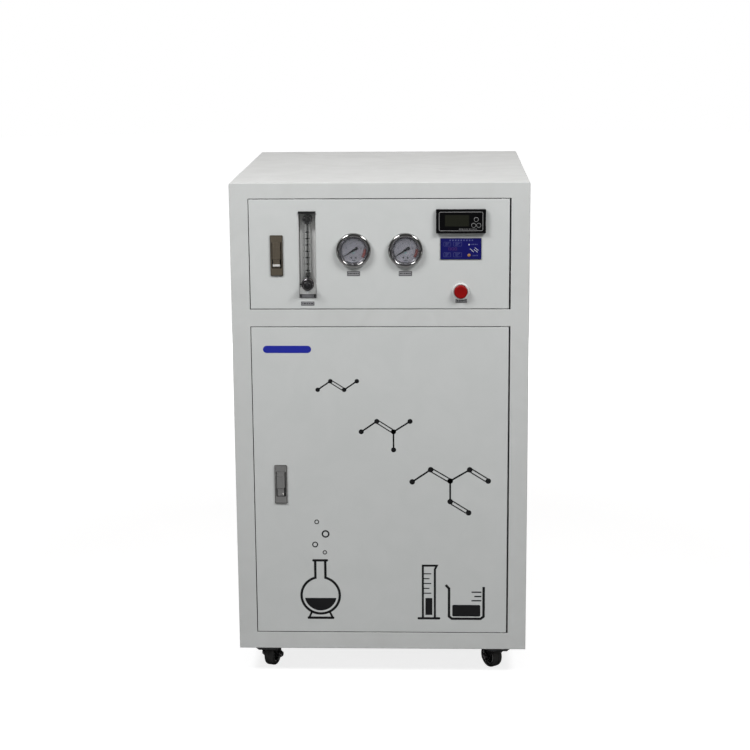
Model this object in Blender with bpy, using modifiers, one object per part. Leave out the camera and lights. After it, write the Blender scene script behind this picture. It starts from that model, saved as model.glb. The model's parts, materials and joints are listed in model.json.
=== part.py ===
# Laboratory water purifier in a steel cabinet on casters.
# X runs to the right, Y to the back and Z up. The origin is on the floor, under the middle of the object.
import math

import bmesh
import bpy
from mathutils import Vector

# Driving sizes of the cabinet, in metres
CABINET_DEPTH = 0.670
CABINET_HEIGHT = 0.980
CASTER_HEIGHT = 0.060
FRONT_REACH = 0.022      # from the cabinet's front face to the end of the valve knob
REAR_REACH = 0.024       # from the back panel to the end of a hose fitting
SHEET = 0.0015           # folded steel sheet
CLEARANCE = 0.0003       # between pieces that bear on each other
OVERRUN = 0.002          # how far a cutter runs past what it cuts
MERGE = 0.00001          # points closer than this become one
ROUND_PROFILE_SHARE = 0.5
ROUND_STEPS = 28         # sides of a round piece
SMALL_STEPS = 16         # sides of a small round piece
WHEEL_STEPS = 24

# Outer wrap and front frame
FOLD_RADIUS = 0.004
REAR_FLANGE = 0.018
RIM_DEPTH = 0.005
RIM_RADIUS = 0.002
RETURN_DEPTH = 0.020
STILE_WIDTH = 0.0375
TOP_RAIL = 0.032
MIDDLE_RAIL = 0.035
BOTTOM_RAIL = 0.036
UPPER_OPENING = 0.224

# Base pan, shelf and back panel
BASE_SHEET = 0.002
BASE_RISE = 0.025
SHELF_FLANGE = 0.018
TUBE_GAP = 0.055         # left open behind the shelf for tubes
BACK_INSET = 0.002
VENT_LENGTH = 0.090
VENT_WIDTH = 0.005
VENT_PITCH = 0.014
VENT_COUNT = 6
VENT_INSET = 0.140       # from the cabinet's side to the middle of a group of vents
VENT_TOP = 0.060         # from the panel's upper edge to the first vent

# Instruments across the upper door, from its left edge to its right edge. The cabinet's width follows.
EDGE_TO_LATCH = 0.0545
LATCH_TO_FLOW = 0.0618
FLOW_TO_GAUGE = 0.0927
GAUGE_PITCH = 0.1040
GAUGE_TO_MONITOR = 0.1105
MONITOR_TO_EDGE = 0.0968

# Doors and their pivots
DOOR_DEPTH = 0.018
DOOR_GAP = 0.0015
PIVOT_GAP = 0.0032       # the wider gap on the pivot side
DOOR_EDGE_RADIUS = 0.0008
PIVOT_INSET = 0.008      # from the door's edge to the pivot
PIVOT_BEHIND = 0.007     # from the door's face to the pivot
PIN_RADIUS = 0.0025
PIN_REACH = 0.006        # pin length beyond a flange
COLLAR_RADIUS = 0.0045

# Flush latches
UPPER_LATCH_DOWN = 0.146  # from the cabinet's top
LOWER_LATCH_DOWN = 0.6215
LATCH_WIDTH = 0.0255
LATCH_HEIGHT = 0.082
LATCH_PROUD = 0.0022
LATCH_CORNER = 0.0012
LATCH_BODY_WIDTH = 0.0215
LATCH_BODY_HEIGHT = 0.064
LATCH_BODY_DEPTH = 0.026
RECESS_WIDTH = 0.0182
RECESS_HEIGHT = 0.052
RECESS_RISE = 0.0012     # the recess sits this far above the middle
RECESS_DEPTH = 0.0105
HANDLE_HEIGHT = 0.0350
HANDLE_THICK = 0.006
HANDLE_PROUD = 0.0006
HANDLE_EDGE = 0.0008
TRUNNION_RADIUS = 0.0014
TRUNNION_REACH = 0.0010
BUTTON_THICK = 0.0075
BUTTON_GAP = 0.0006
BOLT_HEIGHT = 0.012
BOLT_THICK = 0.003
BOLT_TAIL = 0.014        # from the latch's middle to the bolt's inner end
GUIDE_BACK = 0.0024      # wall behind the bolt

# Pressure gauges
GAUGE_DOWN = 0.1355
BEZEL_RADIUS = 0.035
BEZEL_PROUD = 0.010
BEZEL_LIP_RADIUS = 0.0285
BEZEL_LIP = 0.0016
BEZEL_ROUND = 0.003
CASE_RADIUS = 0.031
CASE_BEHIND = 0.030
CASE_CHAMFER = 0.003
DIAL_RADIUS = 0.0297
DIAL_PROUD = 0.0008
LENS_THICK = 0.0015
STEM_RADIUS = 0.0065
STEM_LENGTH = 0.022
POINTER_HEIGHT = 0.0012  # from the dial to the pointer's underside
POINTER_THICK = 0.0008
NEEDLE_LENGTH = 0.0205
NEEDLE_ROOT = 0.0020
NEEDLE_TIP = 0.0006
TAIL_LENGTH = 0.0100
TAIL_WIDTH = 0.0042
HUB_RADIUS = 0.0026
POINTER_REST = 212.0     # degrees, anticlockwise from the right as a reader sees it

# Flow meter
FLOW_DOWN = 0.1448
FLOW_WIDTH = 0.034
FLOW_HEIGHT = 0.1745
FLOW_DEPTH = 0.036
FLOW_PROUD = 0.003
FLOW_EDGE = 0.0010
FLOW_BORE_RADIUS = 0.0065
FLOW_TOP_PORT = 0.067    # above the block's middle
FLOW_LOW_PORT = 0.0592   # below the block's middle
FLOW_BORE_HEAD = 0.006   # the bore runs this far past each port
PORT_RADIUS = 0.004
SPIGOT_RADIUS = 0.0095
SPIGOT_LENGTH = 0.020
ROD_RADIUS = 0.0012
ROD_SOCKET = 0.003
ROD_STOP_RADIUS = 0.0028
ROD_STOP = 0.002
FLOAT_RADIUS = 0.0050
FLOAT_NECK_RADIUS = 0.0030
FLOAT_HEIGHT = 0.012
FLOAT_CAP = 0.003
FLOAT_START = 0.010      # the float's foot above the low port
KNOB_RADIUS = 0.0088
KNOB_TOP_RADIUS = 0.0080
KNOB_COLLAR_RADIUS = 0.0128
KNOB_COLLAR = 0.003
KNOB_LENGTH = 0.0187
KNOB_STEM_RADIUS = 0.003
KNOB_STEM = 0.008

# Conductivity monitor
MONITOR_DOWN = 0.0773
MONITOR_WIDTH = 0.099
MONITOR_HEIGHT = 0.048
MONITOR_PROUD = 0.008
MONITOR_EDGE = 0.0018
MONITOR_BODY_WIDTH = 0.091
MONITOR_BODY_HEIGHT = 0.0435
MONITOR_BEHIND = 0.070
WINDOW_WIDTH = 0.089
WINDOW_HEIGHT = 0.0395
WINDOW_DEPTH = 0.0018
WINDOW_THICK = 0.0012
KEY_RADIUS = 0.0037
KEY_LENGTH = 0.0038
KEY_PROUD = 0.0007
KEY_COLUMN = 0.0302      # from the monitor's middle to the keys' middle
KEY_SPREAD = 0.0050
TOP_KEY_RISE = 0.0038
LOW_KEY_DROP = 0.0078
KEY_POCKET = 0.0060

# Controller module
CONTROLLER_DOWN = 0.1329
CONTROLLER_WIDTH = 0.082
CONTROLLER_HEIGHT = 0.0425
CONTROLLER_PROUD = 0.0014
CONTROLLER_BOX_WIDTH = 0.074
CONTROLLER_BOX_HEIGHT = 0.036
CONTROLLER_BEHIND = 0.028

# Power switch
SWITCH_DOWN = 0.2193
SWITCH_RIM_RADIUS = 0.0157
SWITCH_RIM = 0.0040
SWITCH_RIM_ROUND = 0.0010
SWITCH_CUP_RADIUS = 0.0138
SWITCH_CUP_DEPTH = 0.0035
SWITCH_BODY_RADIUS = 0.0165
SWITCH_BARREL_RADIUS = 0.0150
SWITCH_BEHIND = 0.038
CAP_RADIUS = 0.0134
CAP_PROUD = 0.0120
CAP_FOOT = 0.0010        # the cap's underside in front of the door
CAP_ROUND = 0.0015
CAP_STEM_RADIUS = 0.0040
CAP_STEM = 0.012

# Casters
CASTER_FROM_SIDE = 0.057  # from the cabinet's side to a swivel axis
CASTER_FROM_FACE = 0.044  # from the front and rear faces to a swivel axis
PLATE_SIZE = 0.052
PLATE_THICK = 0.0025
PLATE_CORNER = 0.005
RACE_RADIUS = 0.019
CROWN_RADIUS = 0.023
CROWN_THICK = 0.0025
KINGPIN_RADIUS = 0.004
RIVET_RADIUS = 0.0065
RIVET_HEAD = 0.0018
TRAIL = 0.020
WHEEL_RADIUS = 0.025
WHEEL_WIDTH = 0.021
TREAD_WIDTH = 0.016
TREAD_DROP = 0.0025
RIM_INNER_RADIUS = 0.0175
RIM_RECESS = 0.0035
WHEEL_HUB_RADIUS = 0.0075
AXLE_RADIUS = 0.003
AXLE_HEAD_RADIUS = 0.0055
AXLE_HEAD = 0.0032
LEG_THICK = 0.0022
LEG_FOOT_RADIUS = 0.008
LEG_SPREAD = 0.0045      # how much wider the legs stand at the crown than at the axle
LEG_FORE = 0.012         # reach of a leg's root ahead of the swivel axis
LEG_AFT = 0.018

# Hose fittings and mains inlet on the back panel
FITTING_INSET = 0.100    # from the cabinet's side
FITTING_RISE = 0.230     # lowest fitting above the cabinet's floor
FITTING_PITCH = 0.070
FLANGE_RADIUS = 0.0130
FLANGE_THICK = 0.005
NECK_RADIUS = 0.0100
COLLET_RADIUS = 0.0078
COLLET_LENGTH = 0.004
HOSE_BORE_RADIUS = 0.0048
HOSE_BORE_DEPTH = 0.018
THREAD_RADIUS = 0.0085
THREAD_LENGTH = 0.016
INLET_RISE = 0.120
INLET_WIDTH = 0.050
INLET_HEIGHT = 0.028
INLET_PROUD = 0.004
INLET_BODY_WIDTH = 0.030
INLET_BODY_HEIGHT = 0.024
INLET_BEHIND = 0.024
INLET_SOCKET_WIDTH = 0.0255
INLET_SOCKET_HEIGHT = 0.0175
INLET_SOCKET_DEPTH = 0.018

# Water treatment inside the cabinet
FILTER_INSET = 0.095     # from the cabinet's left side to the first filter's middle
FILTER_PITCH = 0.150
FILTER_FORWARD = 0.130   # from the inside of the back to the filters' middle
HEAD_RADIUS = 0.062
HEAD_HEIGHT = 0.060
HEAD_BRIDGE = 0.040
HEAD_BRACKET = 0.060     # bracket between heads and shelf
BRACKET_THICK = 0.006
BOWL_COLLAR_RADIUS = 0.065
BOWL_COLLAR = 0.034
BOWL_RADIUS = 0.056
BOWL_FOOT_RADIUS = 0.052
BOWL_LENGTH = 0.520
BOWL_ROUND = 0.020
COLUMN_INSET = 0.095     # from the cabinet's right side
COLUMN_FORWARD = 0.140
COLUMN_RADIUS = 0.065
COLUMN_HEIGHT = 0.600
COLUMN_BASE_RADIUS = 0.072
COLUMN_BASE = 0.040
COLUMN_DOME = 0.035
COLUMN_NECK_RADIUS = 0.028
COLUMN_NECK = 0.028
PUMP_INSET = 0.240       # from the cabinet's right side
PUMP_FORWARD = 0.140
PUMP_FOOT_WIDTH = 0.100
PUMP_FOOT_LENGTH = 0.190
PUMP_FOOT = 0.005
PUMP_AXIS = 0.062        # height of the motor's axis over its foot
MOTOR_RADIUS = 0.043
MOTOR_LENGTH = 0.125
PUMP_HEAD_RADIUS = 0.052
PUMP_HEAD_LENGTH = 0.060
PUMP_SADDLE_WIDTH = 0.050
VESSEL_FORWARD = 0.110
VESSEL_RADIUS = 0.045
VESSEL_CAP_RADIUS = 0.052
VESSEL_LENGTH = 0.470
VESSEL_CAP = 0.040
VESSEL_NECK_RADIUS = 0.012
VESSEL_NECK = 0.018
VESSEL_LIFT = 0.062      # height of the vessel's axis over the shelf
SADDLE_WIDTH = 0.030
SADDLE_DEPTH = 0.080
SADDLE_OUT = 0.150
SUPPLY_INSET = 0.110     # from the cabinet's left side
SUPPLY_FORWARD = 0.260
SUPPLY_WIDTH = 0.110
SUPPLY_DEPTH = 0.160
SUPPLY_HEIGHT = 0.050
SUPPLY_EDGE = 0.002
TERMINAL_WIDTH = 0.080
TERMINAL_DEPTH = 0.020
TERMINAL_HEIGHT = 0.014

# Places that follow from the driving sizes
FRONT = FRONT_REACH - (FRONT_REACH + CABINET_DEPTH + REAR_REACH) / 2
REAR = FRONT + CABINET_DEPTH
FLOOR = CASTER_HEIGHT
TOP = FLOOR + CABINET_HEIGHT
DOOR_WIDTH = (
    EDGE_TO_LATCH + LATCH_TO_FLOW + FLOW_TO_GAUGE + GAUGE_PITCH + GAUGE_TO_MONITOR + MONITOR_TO_EDGE
)
OPENING_SIDE = (DOOR_GAP + DOOR_WIDTH + PIVOT_GAP) / 2
HALF = OPENING_SIDE + STILE_WIDTH
WRAP_REAR = REAR - SHEET - CLEARANCE
INSIDE = HALF - SHEET - CLEARANCE
UPPER_TOP = TOP - TOP_RAIL
UPPER_FOOT = UPPER_TOP - UPPER_OPENING
LOWER_TOP = UPPER_FOOT - MIDDLE_RAIL
LOWER_FOOT = FLOOR + BOTTOM_RAIL
DOOR_LEFT = -OPENING_SIDE + DOOR_GAP
DOOR_RIGHT = OPENING_SIDE - PIVOT_GAP
LATCH_X = DOOR_LEFT + EDGE_TO_LATCH
FLOW_X = LATCH_X + LATCH_TO_FLOW
LEFT_GAUGE_X = FLOW_X + FLOW_TO_GAUGE
RIGHT_GAUGE_X = LEFT_GAUGE_X + GAUGE_PITCH
MONITOR_X = RIGHT_GAUGE_X + GAUGE_TO_MONITOR
PIVOT_X = DOOR_RIGHT - PIVOT_INSET
PIVOT_Y = FRONT + PIVOT_BEHIND
SHELF_TOP = (UPPER_FOOT + LOWER_TOP) / 2
BASE_TOP = FLOOR + BASE_SHEET

# Colour, roughness and metallic value of each finish
FINISHES = {
    "white paint": ((0.80, 0.81, 0.79), 0.45, 0.0),
    "black plastic": ((0.02, 0.02, 0.022), 0.35, 0.0),
    "black paint": ((0.03, 0.03, 0.032), 0.45, 0.0),
    "rubber": ((0.025, 0.025, 0.027), 0.70, 0.0),
    "chrome": ((0.62, 0.62, 0.63), 0.15, 1.0),
    "zinc": ((0.52, 0.52, 0.50), 0.40, 1.0),
    "bronze": ((0.16, 0.14, 0.11), 0.35, 0.8),
    "acrylic": ((0.72, 0.75, 0.75), 0.08, 0.0),
    "glass": ((0.85, 0.88, 0.88), 0.05, 0.0),
    "blue film": ((0.02, 0.03, 0.35), 0.40, 0.0),
    "red plastic": ((0.55, 0.01, 0.01), 0.35, 0.0),
    "white plastic": ((0.85, 0.86, 0.86), 0.40, 0.0),
    "blue plastic": ((0.03, 0.10, 0.35), 0.40, 0.0),
    "grey plastic": ((0.35, 0.36, 0.37), 0.50, 0.0),
}

for old in list(bpy.data.objects):
    bpy.data.objects.remove(old)
PARTS = bpy.data.collections.new("water_purifier")
HELPERS = bpy.data.collections.new("cutters")
for group in (PARTS, HELPERS):
    bpy.context.scene.collection.children.link(group)
HELPERS.hide_render = True


def finish_of(name):
    """The named material, made once."""
    made = bpy.data.materials.get(name)
    if made is None:
        colour, roughness, metallic = FINISHES[name]
        made = bpy.data.materials.new(name)
        made.use_nodes = True
        shader = made.node_tree.nodes["Principled BSDF"]
        shader.inputs["Base Color"].default_value = (*colour, 1)
        shader.inputs["Roughness"].default_value = roughness
        shader.inputs["Metallic"].default_value = metallic
    return made


def add(name, data, finish=None, location=(0, 0, 0), rotation=(0, 0, 0)):
    """A part when it has a finish, and a hidden cutter or filler when it has none."""
    obj = bpy.data.objects.new(name, data)
    obj.location = location
    obj.rotation_euler = rotation
    if finish:
        data.materials.append(finish_of(finish))
        PARTS.objects.link(obj)
    else:
        obj.hide_render = True
        obj.display_type = "WIRE"
        HELPERS.objects.link(obj)
    return obj


def box(name, low, high, finish=None, rounds=()):
    """A box between two corners. Each round is a radius, its segments and a test of an edge's two ends."""
    low, high = Vector(low), Vector(high)
    shape = bmesh.new()
    bmesh.ops.create_cube(shape, size=1)
    bmesh.ops.scale(shape, vec=high - low, verts=shape.verts)
    for radius, segments, chosen in rounds:
        edges = [edge for edge in shape.edges if chosen(*(corner.co for corner in edge.verts))]
        bmesh.ops.bevel(
            shape, geom=edges, offset=radius, segments=segments, profile=ROUND_PROFILE_SHARE, affect="EDGES"
        )
    mesh = bpy.data.meshes.new(name)
    shape.to_mesh(mesh)
    shape.free()
    return add(name, mesh, finish, (low + high) / 2)


def upright(name, middle, width, height, front, back, finish=None, rounds=()):
    """A box centred on middle = (x, z), between two places on the Y axis."""
    x, z = middle
    low = (x - width / 2, front, z - height / 2)
    high = (x + width / 2, back, z + height / 2)
    return box(name, low, high, finish, rounds)


def cylinder(name, foot, head, radius, finish=None, steps=SMALL_STEPS):
    """A cylinder between two points."""
    foot, head = Vector(foot), Vector(head)
    shape = bmesh.new()
    bmesh.ops.create_cone(
        shape, cap_ends=True, segments=steps, radius1=radius, radius2=radius, depth=(head - foot).length
    )
    mesh = bpy.data.meshes.new(name)
    shape.to_mesh(mesh)
    shape.free()
    mesh.shade_smooth()
    mesh.set_sharp_from_angle(angle=math.radians(40))
    turn = (head - foot).to_track_quat("Z", "Y").to_euler()
    return add(name, mesh, finish, (foot + head) / 2, turn)


def turned(name, profile, finish=None, location=(0, 0, 0), rotation=(0, 0, 0), steps=ROUND_STEPS):
    """A profile of (radius, height) points, turned about its own Z. It runs down its outer side."""
    closed = profile[0][0] > 0
    corners = [(radius, 0, height) for radius, height in profile]
    edges = [(i, i + 1) for i in range(len(corners) - 1)]
    if closed:
        edges.append((len(corners) - 1, 0))
    mesh = bpy.data.meshes.new(name)
    mesh.from_pydata(corners, edges, [])
    obj = add(name, mesh, finish, location, rotation)
    screw = obj.modifiers.new("turn", "SCREW")
    screw.axis = "Z"
    screw.angle = math.tau
    screw.steps = steps
    screw.render_steps = steps
    screw.use_merge_vertices = True
    screw.merge_threshold = MERGE
    screw.use_smooth_shade = True
    return obj


def plate(name, outline, thickness, finish=None, location=(0, 0, 0), rotation=(0, 0, 0)):
    """A flat outline of (x, y) points, thickened evenly on both sides of its plane."""
    drawn = bpy.data.curves.new(name, "CURVE")
    drawn.dimensions = "2D"
    drawn.fill_mode = "BOTH"
    drawn.extrude = thickness / 2
    line = drawn.splines.new("POLY")
    line.points.add(len(outline) - 1)
    for point, (x, y) in zip(line.points, outline):
        point.co = (x, y, 0, 1)
    line.use_cyclic_u = True
    sketch = bpy.data.objects.new(name + "_sketch", drawn)
    HELPERS.objects.link(sketch)
    graph = bpy.context.evaluated_depsgraph_get()
    mesh = bpy.data.meshes.new_from_object(sketch.evaluated_get(graph))
    bpy.data.objects.remove(sketch)
    shape = bmesh.new()
    shape.from_mesh(mesh)
    bmesh.ops.remove_doubles(shape, verts=shape.verts, dist=MERGE)
    shape.to_mesh(mesh)
    shape.free()
    return add(name, mesh, finish, location, rotation)


def combine(target, operation, others):
    for other in others:
        step = target.modifiers.new(other.name, "BOOLEAN")
        step.operation = operation
        step.object = other
        step.solver = "EXACT"
    return target


def cut(target, *others):
    return combine(target, "DIFFERENCE", others)


def join(target, *others):
    return combine(target, "UNION", others)


def axis_at(name, place, rotation=(0, 0, 0)):
    """The empty that stands on a joint's axis."""
    empty = bpy.data.objects.new(name, None)
    empty.location = place
    empty.rotation_euler = rotation
    empty.empty_display_size = COLLAR_RADIUS
    PARTS.objects.link(empty)
    return empty


def carry(empty, *pieces):
    """Parents pieces to an axis and leaves them where they are."""
    bpy.context.view_layer.update()
    for piece in pieces:
        piece.parent = empty
        piece.matrix_parent_inverse = empty.matrix_world.inverted()


def along_depth(a, b):
    return a.y * b.y < 0


def upper_fold(a, b):
    return along_depth(a, b) and a.z > 0


def front_edge(a, b):
    return a.y < 0 and b.y < 0


def top_cross_edge(a, b):
    return a.x * b.x < 0 and a.z > 0 and b.z > 0


def left_edge(a, b):
    return a.x < 0 and b.x < 0


def upright_edge(a, b):
    return a.z * b.z < 0


def every_edge(a, b):
    return True


FACING_FRONT = (math.pi / 2, 0, 0)
FACING_REAR = (-math.pi / 2, 0, 0)


# Cabinet
def outer_wrap():
    wrap = box(
        "outer_wrap",
        (-HALF, FRONT + RIM_DEPTH + CLEARANCE, FLOOR),
        (HALF, WRAP_REAR, TOP),
        "white paint",
        [(FOLD_RADIUS, 3, upper_fold)],
    )
    hollow = box(
        "wrap_hollow",
        (-HALF + SHEET, FRONT - OVERRUN, FLOOR - OVERRUN),
        (HALF - SHEET, WRAP_REAR - SHEET, TOP - SHEET),
        rounds=[(FOLD_RADIUS - SHEET, 3, upper_fold)],
    )
    way_out = box(
        "wrap_rear_opening",
        (-HALF + REAR_FLANGE, WRAP_REAR - SHEET - OVERRUN, FLOOR - OVERRUN),
        (HALF - REAR_FLANGE, WRAP_REAR + OVERRUN, TOP - REAR_FLANGE),
    )
    return cut(wrap, hollow, way_out)


def opening_cutter(name, foot, top, grow, front, back):
    return box(name, (-OPENING_SIDE - grow, front, foot - grow), (OPENING_SIDE + grow, back, top + grow))


def front_frame():
    rim = box(
        "front_frame",
        (-HALF, FRONT, FLOOR),
        (HALF, FRONT + RIM_DEPTH, TOP),
        "white paint",
        [(FOLD_RADIUS, 3, upper_fold), (RIM_RADIUS, 3, front_edge)],
    )
    inner_side = HALF - SHEET - CLEARANCE
    inner_top = TOP - SHEET - CLEARANCE
    back = FRONT + RETURN_DEPTH
    returns = box(
        "frame_returns",
        (-inner_side, FRONT + SHEET / 2, FLOOR + CLEARANCE),
        (inner_side, back, inner_top),
        rounds=[(FOLD_RADIUS - SHEET, 3, upper_fold)],
    )
    pocket = box(
        "frame_pocket",
        (-inner_side + SHEET, FRONT + SHEET, FLOOR + SHEET + CLEARANCE),
        (inner_side - SHEET, back + OVERRUN, inner_top - SHEET),
    )
    openings = (("upper", UPPER_FOOT, UPPER_TOP), ("lower", LOWER_FOOT, LOWER_TOP))
    deep = back + OVERRUN * 2
    lands = [opening_cutter(f"{n}_land", a, b, SHEET, FRONT - OVERRUN, deep) for n, a, b in openings]
    holes = [opening_cutter(f"{n}_opening", a, b, 0, FRONT - OVERRUN, deep) for n, a, b in openings]
    cut(pocket, *lands)
    join(rim, returns)
    cut(rim, pocket, *holes)
    for z in (UPPER_TOP, UPPER_FOOT, LOWER_TOP, LOWER_FOOT):
        cut(rim, pivot_hole(f"frame_pivot_{z:.3f}", z))
    return rim


def pivot_hole(name, z):
    reach = SHEET + OVERRUN
    radius = PIN_RADIUS + CLEARANCE
    return cylinder(name, (PIVOT_X, PIVOT_Y, z - reach), (PIVOT_X, PIVOT_Y, z + reach), radius)


def base_pan():
    front = FRONT + RETURN_DEPTH + CLEARANCE
    back = WRAP_REAR - SHEET - CLEARANCE
    pan = box("base_pan", (-INSIDE, front, FLOOR), (INSIDE, back, FLOOR + BASE_RISE), "white paint")
    hollow = box(
        "pan_hollow",
        (-INSIDE + BASE_SHEET, front + BASE_SHEET, BASE_TOP),
        (INSIDE - BASE_SHEET, back - BASE_SHEET, FLOOR + BASE_RISE + OVERRUN),
    )
    return cut(pan, hollow)


def mid_shelf():
    front = FRONT + RETURN_DEPTH + CLEARANCE
    back = REAR - TUBE_GAP
    foot = SHELF_TOP - SHELF_FLANGE
    shelf = box("mid_shelf", (-INSIDE, front, foot), (INSIDE, back, SHELF_TOP), "white paint")
    under = box(
        "shelf_under",
        (-INSIDE - OVERRUN, front + SHEET, foot - OVERRUN),
        (INSIDE + OVERRUN, back - SHEET, SHELF_TOP - SHEET),
    )
    return cut(shelf, under)


def back_panel():
    side = HALF - BACK_INSET
    low, high = FLOOR + BACK_INSET, TOP - BACK_INSET
    panel = box("back_panel", (-side, REAR - SHEET, low), (side, REAR, high), "white paint")
    near, far = REAR - SHEET - OVERRUN, REAR + OVERRUN
    for side_sign in (-1, 1):
        for row in range(VENT_COUNT):
            z = high - VENT_TOP - row * VENT_PITCH
            middle = (side_sign * (HALF - VENT_INSET), z)
            cut(panel, upright(f"vent_{side_sign}_{row}", middle, VENT_LENGTH, VENT_WIDTH, near, far))
    for place in range(len(FITTINGS)):
        x, z = fitting_place(place)
        radius = THREAD_RADIUS + CLEARANCE
        cut(panel, cylinder(f"fitting_hole_{place}", (x, near, z), (x, far, z), radius))
    body = (INLET_BODY_WIDTH + 2 * CLEARANCE, INLET_BODY_HEIGHT + 2 * CLEARANCE)
    cut(panel, upright("inlet_hole", inlet_place(), *body, near, far))
    return panel


# Hose fittings and mains inlet
FITTINGS = ("drain_outlet", "product_outlet", "feed_inlet")


def fitting_place(place):
    return HALF - FITTING_INSET, FLOOR + FITTING_RISE + place * FITTING_PITCH


def inlet_place():
    return FITTING_INSET - HALF, FLOOR + INLET_RISE


def hose_fitting(place):
    """A bulkhead push-fit: flange and collet outside, threaded neck inside."""
    x, z = fitting_place(place)
    neck = REAR_REACH - COLLET_LENGTH
    profile = [
        (0, REAR_REACH - HOSE_BORE_DEPTH),
        (HOSE_BORE_RADIUS, REAR_REACH - HOSE_BORE_DEPTH),
        (HOSE_BORE_RADIUS, REAR_REACH),
        (COLLET_RADIUS, REAR_REACH),
        (COLLET_RADIUS, neck),
        (NECK_RADIUS, neck),
        (NECK_RADIUS, FLANGE_THICK + CLEARANCE),
        (FLANGE_RADIUS, FLANGE_THICK + CLEARANCE),
        (FLANGE_RADIUS, CLEARANCE),
        (THREAD_RADIUS, CLEARANCE),
        (THREAD_RADIUS, -THREAD_LENGTH),
        (0, -THREAD_LENGTH),
    ]
    return turned(FITTINGS[place], profile, "white plastic", (x, REAR, z), FACING_REAR, SMALL_STEPS)


def power_inlet():
    x, z = inlet_place()
    face = REAR + CLEARANCE + INLET_PROUD
    body_size = (INLET_BODY_WIDTH, INLET_BODY_HEIGHT)
    rounds = [(INLET_PROUD / 2, 2, along_depth)]
    inlet = upright(
        "power_inlet", (x, z), INLET_WIDTH, INLET_HEIGHT, REAR + CLEARANCE, face, "black plastic", rounds
    )
    body = upright("inlet_body", (x, z), *body_size, REAR - INLET_BEHIND, face - INLET_PROUD / 2)
    socket_size = (INLET_SOCKET_WIDTH, INLET_SOCKET_HEIGHT)
    socket = upright("inlet_socket", (x, z), *socket_size, face - INLET_SOCKET_DEPTH, face + OVERRUN)
    join(inlet, body)
    return cut(inlet, socket)


# Doors
def door(name, foot, top):
    low, high = foot + DOOR_GAP, top - DOOR_GAP
    leaf = box(
        name,
        (DOOR_LEFT, FRONT, low),
        (DOOR_RIGHT, FRONT + DOOR_DEPTH, high),
        "white paint",
        [(DOOR_EDGE_RADIUS, 2, front_edge)],
    )
    hollow = box(
        name + "_hollow",
        (DOOR_LEFT + SHEET, FRONT + SHEET, low + SHEET),
        (DOOR_RIGHT - SHEET, FRONT + DOOR_DEPTH + OVERRUN, high - SHEET),
    )
    return cut(leaf, hollow, pivot_hole(name + "_foot_hole", low), pivot_hole(name + "_top_hole", high))


def pivot_pin(name, z, side):
    """A pin through a frame flange and a door flange, with its collar in the gap between them."""
    reach = SHEET + PIN_REACH
    far, near = z + side * reach, z - side * (DOOR_GAP + reach)
    collar_far, collar_near = z - side * CLEARANCE, z - side * (DOOR_GAP - CLEARANCE)
    pin = cylinder(name, (PIVOT_X, PIVOT_Y, near), (PIVOT_X, PIVOT_Y, far), PIN_RADIUS, "zinc")
    collar = cylinder(
        name + "_collar", (PIVOT_X, PIVOT_Y, collar_near), (PIVOT_X, PIVOT_Y, collar_far), COLLAR_RADIUS
    )
    return join(pin, collar)


def hole_through(door_leaf, name, middle, width, height):
    """Cuts a rectangle through a door's face, with clearance all round."""
    size = (width + 2 * CLEARANCE, height + 2 * CLEARANCE)
    return cut(door_leaf, upright(name, middle, *size, FRONT - OVERRUN, FRONT + SHEET + OVERRUN))


def round_hole_through(door_leaf, name, middle, radius):
    x, z = middle
    near, far = (x, FRONT - OVERRUN, z), (x, FRONT + SHEET + OVERRUN, z)
    return cut(door_leaf, cylinder(name, near, far, radius + CLEARANCE, steps=ROUND_STEPS))


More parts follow.
